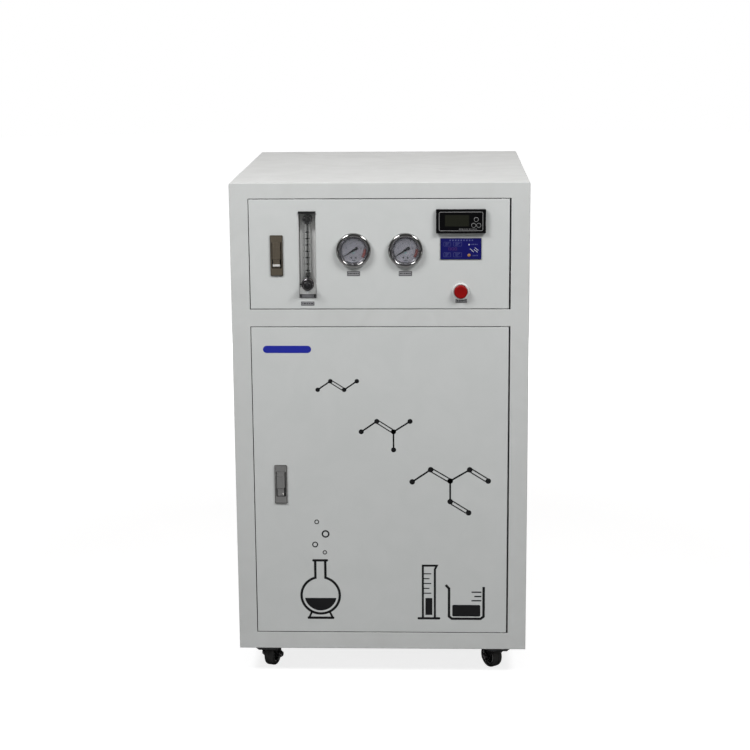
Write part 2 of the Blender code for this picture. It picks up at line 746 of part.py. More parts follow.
# Latches
def latch(prefix, leaf, down, finish):
    """A flush latch: body, swing-out handle, press button and the bolt behind."""
    x, z = LATCH_X, TOP - down
    face = FRONT - CLEARANCE - LATCH_PROUD
    rear = FRONT + LATCH_BODY_DEPTH
    hole_through(leaf, prefix + "_cutout", (x, z), LATCH_BODY_WIDTH, LATCH_BODY_HEIGHT)
    rounds = [(LATCH_CORNER, 2, along_depth), (LATCH_CORNER / 2, 1, front_edge)]
    body = upright(
        prefix + "_body", (x, z), LATCH_WIDTH, LATCH_HEIGHT, face, FRONT - CLEARANCE, finish, rounds
    )
    case = upright(
        prefix + "_case", (x, z), LATCH_BODY_WIDTH, LATCH_BODY_HEIGHT, face + LATCH_PROUD / 2, rear
    )
    recess_z = z + RECESS_RISE
    recess_top = recess_z + RECESS_HEIGHT / 2
    recess_foot = recess_z - RECESS_HEIGHT / 2
    recess = upright(
        prefix + "_recess", (x, recess_z), RECESS_WIDTH, RECESS_HEIGHT, face - OVERRUN, face + RECESS_DEPTH
    )
    slot_back = rear - GUIDE_BACK
    slot_front = slot_back - BOLT_THICK - 2 * CLEARANCE
    slot = upright(
        prefix + "_slot",
        (x, z),
        LATCH_BODY_WIDTH + 2 * OVERRUN,
        BOLT_HEIGHT + 2 * CLEARANCE,
        slot_front,
        slot_back,
    )
    handle_front = face - HANDLE_PROUD
    axis_y = handle_front + HANDLE_THICK / 2
    axis_z = recess_top - CLEARANCE - HANDLE_THICK / 2
    reach = RECESS_WIDTH / 2 + TRUNNION_REACH
    bearing = cylinder(
        prefix + "_bearing",
        (x - reach - CLEARANCE, axis_y, axis_z),
        (x + reach + CLEARANCE, axis_y, axis_z),
        TRUNNION_RADIUS + CLEARANCE,
    )
    join(body, case)
    cut(body, recess, slot, bearing)

    width = RECESS_WIDTH - 2 * CLEARANCE
    top = recess_top - CLEARANCE
    handle = box(
        prefix + "_handle",
        (x - width / 2, handle_front, top - HANDLE_HEIGHT),
        (x + width / 2, handle_front + HANDLE_THICK, top),
        finish,
        [(HANDLE_THICK / 2 * 0.98, 3, top_cross_edge), (HANDLE_EDGE, 2, front_edge)],
    )
    trunnion = cylinder(
        prefix + "_trunnion", (x - reach, axis_y, axis_z), (x + reach, axis_y, axis_z), TRUNNION_RADIUS
    )
    join(handle, trunnion)
    button_top = top - HANDLE_HEIGHT - BUTTON_GAP
    button = box(
        prefix + "_button",
        (x - width / 2, handle_front, recess_foot + CLEARANCE),
        (x + width / 2, handle_front + BUTTON_THICK, button_top),
        finish,
        [(HANDLE_EDGE, 2, front_edge)],
    )
    bolt = box(
        prefix + "_bolt",
        (DOOR_LEFT, slot_front + CLEARANCE, z - BOLT_HEIGHT / 2),
        (x + BOLT_TAIL, slot_back - CLEARANCE, z + BOLT_HEIGHT / 2),
        "zinc",
        [(BOLT_THICK / 3, 1, left_edge)],
    )
    carry(axis_at(prefix + "_handle_axis", (x, axis_y, axis_z)), handle)
    carry(axis_at(prefix + "_button_axis", (x, handle_front, (button_top + recess_foot) / 2)), button)
    carry(axis_at(prefix + "_bolt_axis", (DOOR_LEFT, slot_front, z)), bolt)
    return body


# Instruments on the upper door
def gauge(side, leaf, x):
    z = TOP - GAUGE_DOWN
    place = (x, FRONT, z)
    round_hole_through(leaf, side + "_gauge_hole", (x, z), CASE_RADIUS)
    lip = BEZEL_PROUD - BEZEL_LIP
    shoulder = [
        (
            BEZEL_RADIUS - BEZEL_ROUND * (1 - math.sin(turn)),
            BEZEL_PROUD - BEZEL_ROUND * (1 - math.cos(turn)),
        )
        for turn in (0, math.pi / 6, math.pi / 3, math.pi / 2)
    ]
    stem_end = -CASE_BEHIND - STEM_LENGTH
    profile = [
        (0, DIAL_PROUD),
        (DIAL_RADIUS, DIAL_PROUD),
        (DIAL_RADIUS, lip),
        (BEZEL_LIP_RADIUS, lip),
        (BEZEL_LIP_RADIUS, BEZEL_PROUD),
        *shoulder,
        (BEZEL_RADIUS, CLEARANCE),
        (CASE_RADIUS, CLEARANCE),
        (CASE_RADIUS, CASE_CHAMFER - CASE_BEHIND),
        (CASE_RADIUS - CASE_CHAMFER, -CASE_BEHIND),
        (STEM_RADIUS, -CASE_BEHIND),
        (STEM_RADIUS, stem_end),
        (0, stem_end),
    ]
    case = turned(side + "_gauge_case", profile, "chrome", place, FACING_FRONT)
    lens_out = lip - CLEARANCE
    lens_radius = DIAL_RADIUS - CLEARANCE
    lens = cylinder(
        side + "_gauge_lens",
        (x, FRONT - lens_out + LENS_THICK, z),
        (x, FRONT - lens_out, z),
        lens_radius,
        "glass",
        ROUND_STEPS,
    )
    return [case, lens], gauge_pointer(side, x, z)


def gauge_pointer(side, x, z):
    under = FRONT - DIAL_PROUD - POINTER_HEIGHT
    outline = [
        (NEEDLE_LENGTH, NEEDLE_TIP / 2),
        (0, NEEDLE_ROOT / 2),
        (-TAIL_LENGTH, TAIL_WIDTH / 2),
        (-TAIL_LENGTH, -TAIL_WIDTH / 2),
        (0, -NEEDLE_ROOT / 2),
        (NEEDLE_LENGTH, -NEEDLE_TIP / 2),
    ]
    middle = (x, under - POINTER_THICK / 2, z)
    turn = (math.pi / 2, math.radians(-POINTER_REST), 0)
    pointer = plate(side + "_gauge_pointer", outline, POINTER_THICK, "black plastic", middle, turn)
    foot = (x, FRONT - DIAL_PROUD - CLEARANCE, z)
    head = (x, under - 2 * POINTER_THICK, z)
    join(pointer, cylinder(side + "_pointer_hub", foot, head, HUB_RADIUS))
    carry(axis_at(side + "_pointer_axis", (x, FRONT, z)), pointer)
    return pointer


def flow_meter(leaf):
    """A clear block with a bore, a guide rod, a float and a valve knob."""
    x, z = FLOW_X, TOP - FLOW_DOWN
    face = FRONT - FLOW_PROUD
    back = face + FLOW_DEPTH
    high, low = z + FLOW_TOP_PORT, z - FLOW_LOW_PORT
    bore_y = face + FLOW_DEPTH / 2
    hole_through(leaf, "flow_cutout", (x, z), FLOW_WIDTH, FLOW_HEIGHT)
    block = upright(
        "flow_meter_body",
        (x, z),
        FLOW_WIDTH,
        FLOW_HEIGHT,
        face,
        back,
        "acrylic",
        [(FLOW_EDGE, 1, front_edge)],
    )
    for name, port in (("top", high), ("low", low)):
        spigot_end = back + SPIGOT_LENGTH
        spigot = cylinder(
            f"flow_{name}_spigot", (x, back - OVERRUN, port), (x, spigot_end, port), SPIGOT_RADIUS
        )
        join(block, spigot)
    bore_foot, bore_top = low - FLOW_BORE_HEAD, high + FLOW_BORE_HEAD
    cut(block, cylinder("flow_bore", (x, bore_y, bore_foot), (x, bore_y, bore_top), FLOW_BORE_RADIUS))
    for name, port in (("top", high), ("low", low)):
        far = (x, back + SPIGOT_LENGTH + OVERRUN, port)
        cut(block, cylinder(f"flow_{name}_port", (x, bore_y, port), far, PORT_RADIUS))
    stem_hole = KNOB_STEM_RADIUS + CLEARANCE
    cut(block, cylinder("flow_stem_hole", (x, face - OVERRUN, low), (x, bore_y, low), stem_hole))
    rod_foot, rod_top = bore_foot - ROD_SOCKET, bore_top + ROD_SOCKET
    socket = ROD_RADIUS + CLEARANCE
    for name, a, b in (("foot", rod_foot, bore_foot + OVERRUN), ("top", bore_top - OVERRUN, rod_top)):
        cut(block, cylinder(f"flow_rod_{name}", (x, bore_y, a), (x, bore_y, b), socket))

    foot = low + FLOAT_START
    stop_top = foot - CLEARANCE
    rod_profile = [
        (0, rod_top - CLEARANCE),
        (ROD_RADIUS, rod_top - CLEARANCE),
        (ROD_RADIUS, stop_top),
        (ROD_STOP_RADIUS, stop_top),
        (ROD_STOP_RADIUS, stop_top - ROD_STOP),
        (ROD_RADIUS, stop_top - ROD_STOP),
        (ROD_RADIUS, rod_foot + CLEARANCE),
        (0, rod_foot + CLEARANCE),
    ]
    rod = turned("flow_meter_rod", rod_profile, "zinc", (x, bore_y, 0), steps=SMALL_STEPS)
    waist = FLOAT_HEIGHT - FLOAT_CAP
    profile = [
        (socket, FLOAT_HEIGHT),
        (FLOAT_RADIUS, FLOAT_HEIGHT),
        (FLOAT_RADIUS, waist),
        (FLOAT_NECK_RADIUS, waist - FLOAT_CAP),
        (FLOAT_NECK_RADIUS, 0),
        (socket, 0),
    ]
    bob = turned("flow_meter_float", profile, "black plastic", (x, bore_y, foot), steps=SMALL_STEPS)
    carry(axis_at("float_axis", (x, bore_y, foot)), bob)

    seat = FLOW_PROUD + CLEARANCE
    stem_end = seat - KNOB_STEM
    collar = seat + KNOB_COLLAR
    tip = seat + KNOB_LENGTH
    knob_profile = [
        (0, tip),
        (KNOB_TOP_RADIUS, tip),
        (KNOB_RADIUS, collar),
        (KNOB_COLLAR_RADIUS, collar),
        (KNOB_COLLAR_RADIUS, seat),
        (KNOB_STEM_RADIUS, seat),
        (KNOB_STEM_RADIUS, stem_end),
        (0, stem_end),
    ]
    place = (x, FRONT, low)
    knob = turned("flow_meter_knob", knob_profile, "black plastic", place, FACING_FRONT, WHEEL_STEPS)
    carry(axis_at("knob_axis", place), knob)
    return [block, rod]


def monitor(leaf):
    """The conductivity monitor, with a recessed window and three keys."""
    x, z = MONITOR_X, TOP - MONITOR_DOWN
    face = FRONT - CLEARANCE - MONITOR_PROUD
    hole_through(leaf, "monitor_cutout", (x, z), MONITOR_BODY_WIDTH, MONITOR_BODY_HEIGHT)
    housing = upright(
        "monitor_housing",
        (x, z),
        MONITOR_WIDTH,
        MONITOR_HEIGHT,
        face,
        FRONT - CLEARANCE,
        "black plastic",
        [(MONITOR_EDGE, 3, along_depth), (MONITOR_EDGE / 2, 2, front_edge)],
    )
    body_size = (MONITOR_BODY_WIDTH, MONITOR_BODY_HEIGHT)
    body = upright("monitor_body", (x, z), *body_size, face + MONITOR_PROUD / 2, FRONT + MONITOR_BEHIND)
    window_back = face + WINDOW_DEPTH
    recess = upright(
        "window_recess", (x, z), WINDOW_WIDTH, WINDOW_HEIGHT, face - OVERRUN, window_back
    )
    join(housing, body)
    cut(housing, recess)
    loose = 2 * CLEARANCE
    window_front = window_back - CLEARANCE - WINDOW_THICK
    window = upright(
        "monitor_window",
        (x, z),
        WINDOW_WIDTH - loose,
        WINDOW_HEIGHT - loose,
        window_front,
        window_back - CLEARANCE,
        "black plastic",
    )
    keys = (
        ("top", x + KEY_COLUMN, z + TOP_KEY_RISE),
        ("left", x + KEY_COLUMN - KEY_SPREAD, z - LOW_KEY_DROP),
        ("right", x + KEY_COLUMN + KEY_SPREAD, z - LOW_KEY_DROP),
    )
    key_front = window_front - KEY_PROUD
    for name, key_x, key_z in keys:
        hole = cylinder(
            f"{name}_key_pocket",
            (key_x, window_front - OVERRUN, key_z),
            (key_x, key_front + KEY_POCKET, key_z),
            KEY_RADIUS + CLEARANCE,
        )
        cut(window, hole)
        cut(housing, hole)
        key = cylinder(
            f"monitor_{name}_key",
            (key_x, key_front + KEY_LENGTH, key_z),
            (key_x, key_front, key_z),
            KEY_RADIUS,
            "black plastic",
        )
        carry(axis_at(f"{name}_key_axis", (key_x, key_front, key_z)), key)
    return [housing, window]


def controller(leaf):
    x, z = MONITOR_X, TOP - CONTROLLER_DOWN
    face = FRONT - CLEARANCE - CONTROLLER_PROUD
    box_size = (CONTROLLER_BOX_WIDTH, CONTROLLER_BOX_HEIGHT)
    hole_through(leaf, "controller_cutout", (x, z), *box_size)
    film_size = (CONTROLLER_WIDTH, CONTROLLER_HEIGHT)
    film = upright("controller_module", (x, z), *film_size, face, FRONT - CLEARANCE, "blue film")
    case = upright(
        "controller_case", (x, z), *box_size, face + CONTROLLER_PROUD / 2, FRONT + CONTROLLER_BEHIND
    )
    return join(film, case)


def power_switch(leaf):
    """A latching push switch: rim and barrel, with a red cap that slides in its cup."""
    x, z = MONITOR_X, TOP - SWITCH_DOWN
    place = (x, FRONT, z)
    rim_round = SWITCH_RIM_ROUND
    bottom = CLEARANCE - SWITCH_CUP_DEPTH
    stem_hole = CAP_STEM_RADIUS + CLEARANCE
    stem_floor = CAP_FOOT - CAP_STEM - SWITCH_CUP_DEPTH
    round_hole_through(leaf, "switch_hole", (x, z), SWITCH_BARREL_RADIUS)
    profile = [
        (0, stem_floor),
        (stem_hole, stem_floor),
        (stem_hole, bottom),
        (SWITCH_CUP_RADIUS, bottom),
        (SWITCH_CUP_RADIUS, SWITCH_RIM),
        (SWITCH_RIM_RADIUS + rim_round, SWITCH_RIM),
        (SWITCH_RIM_RADIUS + 2 * rim_round, SWITCH_RIM - rim_round),
        (SWITCH_RIM_RADIUS + 2 * rim_round, CLEARANCE),
        (SWITCH_BARREL_RADIUS, CLEARANCE),
        (SWITCH_BARREL_RADIUS, -SWITCH_BEHIND),
        (0, -SWITCH_BEHIND),
    ]
    body = turned("power_switch_body", profile, "white plastic", place, FACING_FRONT, WHEEL_STEPS)
    cap_profile = [
        (0, CAP_PROUD),
        (CAP_RADIUS - 2 * CAP_ROUND, CAP_PROUD),
        (CAP_RADIUS - CAP_ROUND / 2, CAP_PROUD - CAP_ROUND / 2),
        (CAP_RADIUS, CAP_PROUD - 2 * CAP_ROUND),
        (CAP_RADIUS, CAP_FOOT),
        (CAP_STEM_RADIUS, CAP_FOOT),
        (CAP_STEM_RADIUS, CAP_FOOT - CAP_STEM),
        (0, CAP_FOOT - CAP_STEM),
    ]
    cap = turned("power_switch_cap", cap_profile, "red plastic", place, FACING_FRONT, WHEEL_STEPS)
    carry(axis_at("switch_axis", place), cap)
    return body


# Casters
def caster(corner, x, y, heading):
    """A swivel caster. Heading is the direction of the trail, in degrees from +X."""
    plate_top = FLOOR - CLEARANCE
    plate_foot = plate_top - PLATE_THICK
    crown_foot = 2 * WHEEL_RADIUS + CLEARANCE * 3
    crown_top = crown_foot + CROWN_THICK
    base = box(
        corner + "_caster_plate",
        (x - PLATE_SIZE / 2, y - PLATE_SIZE / 2, plate_foot),
        (x + PLATE_SIZE / 2, y + PLATE_SIZE / 2, plate_top),
        "zinc",
        [(PLATE_CORNER, 2, upright_edge)],
    )
    rivet_top = crown_foot - CLEARANCE
    shaft = [
        (0, plate_foot + PLATE_THICK / 2),
        (RACE_RADIUS, plate_foot + PLATE_THICK / 2),
        (RACE_RADIUS, crown_top + CLEARANCE),
        (KINGPIN_RADIUS, crown_top + CLEARANCE),
        (KINGPIN_RADIUS, rivet_top),
        (RIVET_RADIUS, rivet_top),
        (RIVET_RADIUS, rivet_top - RIVET_HEAD),
        (0, rivet_top - RIVET_HEAD),
    ]
    join(base, turned(corner + "_kingpin", shaft, location=(x, y, 0), steps=SMALL_STEPS))

    # The fork is built with its trail along +X and then turned to its heading
    swivel = axis_at(corner + "_swivel_axis", (x, y, 0))
    hole = KINGPIN_RADIUS + CLEARANCE
    crown = turned(
        corner + "_caster_fork",
        [(hole, crown_top), (CROWN_RADIUS, crown_top), (CROWN_RADIUS, crown_foot), (hole, crown_foot)],
        "black paint",
        (x, y, 0),
        steps=SMALL_STEPS,
    )
    inner = WHEEL_WIDTH / 2 + CLEARANCE
    drop = crown_foot - WHEEL_RADIUS
    lean = math.atan2(LEG_SPREAD, drop)
    tilt_reach = drop / math.cos(lean)
    stand = inner + LEG_THICK / 2 / math.cos(lean) + LEG_FOOT_RADIUS * math.sin(lean)
    foot_arc = [math.radians(turn) for turn in range(-150, 31, 30)]
    outline = [(LEG_AFT, tilt_reach), (-LEG_FORE, tilt_reach)]
    outline += [
        (TRAIL + LEG_FOOT_RADIUS * math.cos(turn), LEG_FOOT_RADIUS * math.sin(turn)) for turn in foot_arc
    ]
    axle_x, axle_z = x + TRAIL, WHEEL_RADIUS
    reach = stand + LEG_THICK / 2 + AXLE_HEAD
    axle = cylinder(
        corner + "_axle", (axle_x, y - reach, axle_z), (axle_x, y + reach, axle_z), AXLE_RADIUS
    )
    added = [axle]
    for side in (-1, 1):
        place = (x, y + side * stand, axle_z)
        tilt = (math.pi / 2 - side * lean, 0, 0)
        added.append(plate(f"{corner}_leg_{side}", outline, LEG_THICK, None, place, tilt))
        near, far = (axle_x, y + side * stand, axle_z), (axle_x, y + side * reach, axle_z)
        added.append(cylinder(f"{corner}_nut_{side}", near, far, AXLE_HEAD_RADIUS, steps=6))
    join(crown, *added)

    half, tread = WHEEL_WIDTH / 2, TREAD_WIDTH / 2
    web = half - RIM_RECESS
    side_profile = [
        (WHEEL_RADIUS / math.cos(math.pi / WHEEL_STEPS), tread),
        (WHEEL_RADIUS - TREAD_DROP, half),
        (RIM_INNER_RADIUS, half),
        (RIM_INNER_RADIUS, web),
        (WHEEL_HUB_RADIUS, web),
        (WHEEL_HUB_RADIUS, half),
        (AXLE_RADIUS + CLEARANCE, half),
    ]
    ring = [*reversed(side_profile), *((radius, -height) for radius, height in side_profile)]
    flat_down = (math.pi / 2, math.pi / WHEEL_STEPS, 0)
    place = (axle_x, y, axle_z)
    wheel = turned(corner + "_caster_wheel", ring, "rubber", place, flat_down, WHEEL_STEPS)
    spin = axis_at(corner + "_wheel_axis", (axle_x, y, axle_z))
    carry(swivel, crown, spin, *added)
    carry(spin, wheel)
    swivel.rotation_euler = (0, 0, math.radians(heading))
    return base


# Water treatment inside
def filters():
    """A twin filter head hung from the shelf, with two screwed bowls."""
    y = WRAP_REAR - FILTER_FORWARD
    plate_top = SHELF_TOP - SHEET - CLEARANCE
    head_top = plate_top - HEAD_BRACKET
    head_foot = head_top - HEAD_HEIGHT
    first = FILTER_INSET - HALF
    last = first + FILTER_PITCH
    half_bridge = HEAD_BRIDGE / 2
    low, high = (first, y, head_foot), (first, y, head_top)
    bar = cylinder("filter_head_bar", low, high, HEAD_RADIUS, "grey plastic", WHEEL_STEPS)
    other = cylinder(
        "second_head", (last, y, head_foot), (last, y, head_top), HEAD_RADIUS, steps=WHEEL_STEPS
    )
    bridge_foot = (head_foot + head_top) / 2 - half_bridge / 2
    bridge = box(
        "head_bridge",
        (first, y - half_bridge, bridge_foot),
        (last, y + half_bridge, bridge_foot + half_bridge),
    )
    web = box(
        "head_web",
        (first, y - BRACKET_THICK / 2, head_top - BRACKET_THICK),
        (last, y + BRACKET_THICK / 2, plate_top - BRACKET_THICK / 2),
    )
    flange = box(
        "head_flange",
        (first - half_bridge, y - HEAD_BRIDGE, plate_top - BRACKET_THICK),
        (last + half_bridge, y + HEAD_BRIDGE, plate_top),
    )
    join(bar, other, bridge, web, flange)
    collar = BOWL_LENGTH - BOWL_COLLAR
    arc = [math.radians(turn) for turn in (0, 30, 60, 90)]
    foot_radius = BOWL_FOOT_RADIUS - BOWL_ROUND
    profile = [
        (0, BOWL_LENGTH),
        (BOWL_COLLAR_RADIUS, BOWL_LENGTH),
        (BOWL_COLLAR_RADIUS, collar),
        (BOWL_RADIUS, collar - (BOWL_COLLAR_RADIUS - BOWL_RADIUS)),
        *((foot_radius + BOWL_ROUND * math.cos(t), BOWL_ROUND * (1 - math.sin(t))) for t in arc),
        (0, 0),
    ]
    bowl_foot = head_foot - CLEARANCE - BOWL_LENGTH
    for name, x in (("sediment_bowl", first), ("carbon_bowl", last)):
        turned(name, profile, "blue plastic", (x, y, bowl_foot), steps=WHEEL_STEPS)


def resin_column():
    neck = COLUMN_HEIGHT - COLUMN_NECK
    dome = neck - COLUMN_DOME
    arc = [math.radians(turn) for turn in (60, 40, 20, 0)]
    profile = [
        (0, COLUMN_HEIGHT),
        (COLUMN_NECK_RADIUS, COLUMN_HEIGHT),
        (COLUMN_NECK_RADIUS, neck),
        *((COLUMN_RADIUS * math.cos(t), dome + COLUMN_DOME * math.sin(t)) for t in arc),
        (COLUMN_RADIUS, COLUMN_BASE),
        (COLUMN_BASE_RADIUS, COLUMN_BASE),
        (COLUMN_BASE_RADIUS, 0),
        (0, 0),
    ]
    y = WRAP_REAR - COLUMN_FORWARD
    foot = (HALF - COLUMN_INSET, y, BASE_TOP + CLEARANCE)
    turned("resin_column", profile, "white plastic", foot, steps=WHEEL_STEPS)


def booster_pump():
    x, y = HALF - PUMP_INSET, WRAP_REAR - PUMP_FORWARD
    foot = BASE_TOP + CLEARANCE
    half_length = PUMP_FOOT_LENGTH / 2
    base = box(
        "booster_pump",
        (x - PUMP_FOOT_WIDTH / 2, y - half_length, foot),
        (x + PUMP_FOOT_WIDTH / 2, y + half_length, foot + PUMP_FOOT),
        "black paint",
    )
    axis = foot + PUMP_FOOT + PUMP_AXIS
    motor_front = y + half_length - MOTOR_LENGTH
    motor = cylinder(
        "pump_motor", (x, motor_front, axis), (x, y + half_length, axis), MOTOR_RADIUS, steps=WHEEL_STEPS
    )
    head_back = motor_front + OVERRUN
    head_front = head_back - PUMP_HEAD_LENGTH
    head = cylinder(
        "pump_head", (x, head_front, axis), (x, head_back, axis), PUMP_HEAD_RADIUS, steps=WHEEL_STEPS
    )
    saddle = box(
        "pump_saddle",
        (x - PUMP_SADDLE_WIDTH / 2, head_back - PUMP_HEAD_LENGTH / 2, foot + PUMP_FOOT / 2),
        (x + PUMP_SADDLE_WIDTH / 2, y + half_length - PUMP_FOOT, axis - MOTOR_RADIUS / 2),
    )
    return join(base, motor, head, saddle)


def ro_vessel():
    y = WRAP_REAR - VESSEL_FORWARD
    axis = SHELF_TOP + VESSEL_LIFT
    half = VESSEL_LENGTH / 2
    end = half - VESSEL_CAP
    profile = [
        (0, half + VESSEL_NECK),
        (VESSEL_NECK_RADIUS, half + VESSEL_NECK),
        (VESSEL_NECK_RADIUS, half),
        (VESSEL_CAP_RADIUS, half),
        (VESSEL_CAP_RADIUS, end),
        (VESSEL_RADIUS, end),
        (VESSEL_RADIUS, -end),
        (VESSEL_CAP_RADIUS, -end),
        (VESSEL_CAP_RADIUS, -half),
        (VESSEL_NECK_RADIUS, -half),
        (VESSEL_NECK_RADIUS, -half - VESSEL_NECK),
        (0, -half - VESSEL_NECK),
    ]
    vessel = turned("ro_vessel", profile, "white plastic", (0, y, axis), (0, math.pi / 2, 0), WHEEL_STEPS)
    for side in (-1, 1):
        x = side * SADDLE_OUT
        saddle = box(
            f"vessel_saddle_{side}",
            (x - SADDLE_WIDTH / 2, y - SADDLE_DEPTH / 2, SHELF_TOP + CLEARANCE),
            (x + SADDLE_WIDTH / 2, y + SADDLE_DEPTH / 2, axis),
        )
        join(vessel, saddle)
    return vessel


def power_supply():
    x, y = SUPPLY_INSET - HALF, WRAP_REAR - SUPPLY_FORWARD
    foot = SHELF_TOP + CLEARANCE
    front, back = y - SUPPLY_DEPTH / 2, y + SUPPLY_DEPTH / 2
    supply = box(
        "power_supply",
        (x - SUPPLY_WIDTH / 2, front, foot),
        (x + SUPPLY_WIDTH / 2, back, foot + SUPPLY_HEIGHT),
        "zinc",
        [(SUPPLY_EDGE, 1, every_edge)],
    )
    terminals = box(
        "supply_terminals",
        (x - TERMINAL_WIDTH / 2, front - TERMINAL_DEPTH, foot + SUPPLY_EDGE),
        (x + TERMINAL_WIDTH / 2, front + SUPPLY_EDGE, foot + TERMINAL_HEIGHT),
    )
    return join(supply, terminals)


def build():
    outer_wrap()
    front_frame()
    base_pan()
    mid_shelf()
    back_panel()
    for place in range(len(FITTINGS)):
        hose_fitting(place)
    power_inlet()

    upper = door("upper_door", UPPER_FOOT, UPPER_TOP)
    lower = door("lower_door", LOWER_FOOT, LOWER_TOP)
    pins = (
        ("upper_door_top_pin", UPPER_TOP, 1),
        ("upper_door_bottom_pin", UPPER_FOOT, -1),
        ("lower_door_top_pin", LOWER_TOP, 1),
        ("lower_door_bottom_pin", LOWER_FOOT, -1),
    )
    for name, z, side in pins:
        pivot_pin(name, z, side)

    upper_pieces = [upper, latch("upper_latch", upper, UPPER_LATCH_DOWN, "bronze")]
    for side, x in (("left", LEFT_GAUGE_X), ("right", RIGHT_GAUGE_X)):
        fixed, _ = gauge(side, upper, x)
        upper_pieces += fixed
    upper_pieces += flow_meter(upper)
    upper_pieces += monitor(upper)
    upper_pieces.append(controller(upper))
    upper_pieces.append(power_switch(upper))
    lower_pieces = [lower, latch("lower_latch", lower, LOWER_LATCH_DOWN, "zinc")]
    carry(axis_at("upper_door_axis", (PIVOT_X, PIVOT_Y, UPPER_FOOT)), *upper_pieces)
    carry(axis_at("lower_door_axis", (PIVOT_X, PIVOT_Y, LOWER_FOOT)), *lower_pieces)

    side = HALF - CASTER_FROM_SIDE
    front_y, rear_y = FRONT + CASTER_FROM_FACE, REAR - CASTER_FROM_FACE
    caster("front_left", -side, front_y, 72)
    caster("front_right", side, front_y, 127)
    caster("rear_left", -side, rear_y, 248)
    caster("rear_right", side, rear_y, 285)

    filters()
    resin_column()
    booster_pump()
    ro_vessel()
    power_supply()


build()
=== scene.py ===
import json
import math

import bmesh
import bpy
from mathutils import Matrix, Vector
from mathutils.geometry import tessellate_polygon

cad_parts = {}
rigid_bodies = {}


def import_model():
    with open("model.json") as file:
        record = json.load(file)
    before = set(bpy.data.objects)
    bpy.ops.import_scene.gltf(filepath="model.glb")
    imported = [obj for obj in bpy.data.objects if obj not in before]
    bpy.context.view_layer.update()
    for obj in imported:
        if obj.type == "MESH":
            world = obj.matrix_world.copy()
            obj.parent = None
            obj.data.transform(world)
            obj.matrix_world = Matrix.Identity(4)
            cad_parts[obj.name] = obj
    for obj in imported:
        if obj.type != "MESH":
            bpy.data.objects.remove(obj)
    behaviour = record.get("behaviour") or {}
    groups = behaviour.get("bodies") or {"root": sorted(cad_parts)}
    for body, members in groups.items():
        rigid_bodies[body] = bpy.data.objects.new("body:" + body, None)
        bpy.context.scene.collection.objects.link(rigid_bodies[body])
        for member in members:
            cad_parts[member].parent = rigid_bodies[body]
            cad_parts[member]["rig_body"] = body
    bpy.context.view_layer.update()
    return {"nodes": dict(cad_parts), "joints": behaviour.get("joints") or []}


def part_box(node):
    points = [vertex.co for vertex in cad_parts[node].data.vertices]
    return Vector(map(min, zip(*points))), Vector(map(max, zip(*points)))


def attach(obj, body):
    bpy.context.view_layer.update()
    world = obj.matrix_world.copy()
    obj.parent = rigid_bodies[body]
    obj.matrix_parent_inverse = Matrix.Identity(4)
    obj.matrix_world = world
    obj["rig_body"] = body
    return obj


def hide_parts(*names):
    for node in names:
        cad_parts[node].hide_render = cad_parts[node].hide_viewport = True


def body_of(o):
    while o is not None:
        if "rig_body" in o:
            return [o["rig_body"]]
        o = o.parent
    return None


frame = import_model()
cadNodes = frame["nodes"]
print("frame loaded:", len(cadNodes), "solids")

# facts that many pieces share, in metres
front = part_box("upper_door")[0].y  # the face of the doors
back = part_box("back_panel")[1].y
toFront, toBack = Vector((0, -1, 0)), Vector((0, 1, 0))
toFloor, toTop = Vector((0, 0, -1)), Vector((0, 0, 1))
toLeft, toRight = Vector((-1, 0, 0)), Vector((1, 0, 0))
tiny = 1e-5
inkThick = 0.00012


def middleOf(node):
    low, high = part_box(node)
    return (low + high) / 2


def camelName(node):
    first, *others = node.split("_")
    return first + "".join(word.title() for word in others)


# nodes of materials
def makeGroup(name, inputs, outputs):
    group = bpy.data.node_groups.new(name, "ShaderNodeTree")
    for label, kind, value in inputs:
        socket = group.interface.new_socket(name=label, in_out="INPUT", socket_type=kind)
        socket.default_value = value
    for label in outputs:
        group.interface.new_socket(name=label, in_out="OUTPUT", socket_type="NodeSocketFloat")
    return group, group.nodes.new("NodeGroupInput").outputs, group.nodes.new("NodeGroupOutput").inputs


def addNode(tree, kind, links=(), **values):
    node = tree.nodes.new("ShaderNode" + kind)
    for label, value in values.items():
        setattr(node, label, value)
    for socket, value in dict(links).items():
        if isinstance(value, bpy.types.NodeSocket):
            tree.links.new(value, node.inputs[socket])
        else:
            node.inputs[socket].default_value = value
    return node


def placeGroup(tree, group, values):
    node = tree.nodes.new("ShaderNodeGroup")
    node.node_tree = group
    for label, value in values.items():
        node.inputs[label].default_value = value
    return node.outputs


def blendColours(tree, factor, first, second):
    node = addNode(tree, "Mix", data_type="RGBA")
    for socket, value in ((0, factor), (6, first), (7, second)):
        if isinstance(value, bpy.types.NodeSocket):
            tree.links.new(value, node.inputs[socket])
        else:
            node.inputs[socket].default_value = (*value, 1) if socket else value
    return node.outputs[2]


def remap(tree, value, low, high, start=0.0, end=1.0):
    return addNode(tree, "MapRange", {0: value, 1: start, 2: end, 3: low, 4: high}).outputs[0]


def times(tree, first, second):
    return addNode(tree, "Math", {0: first, 1: second}, operation="MULTIPLY").outputs[0]


def objectPlace(tree):
    return addNode(tree, "TexCoord").outputs["Object"]


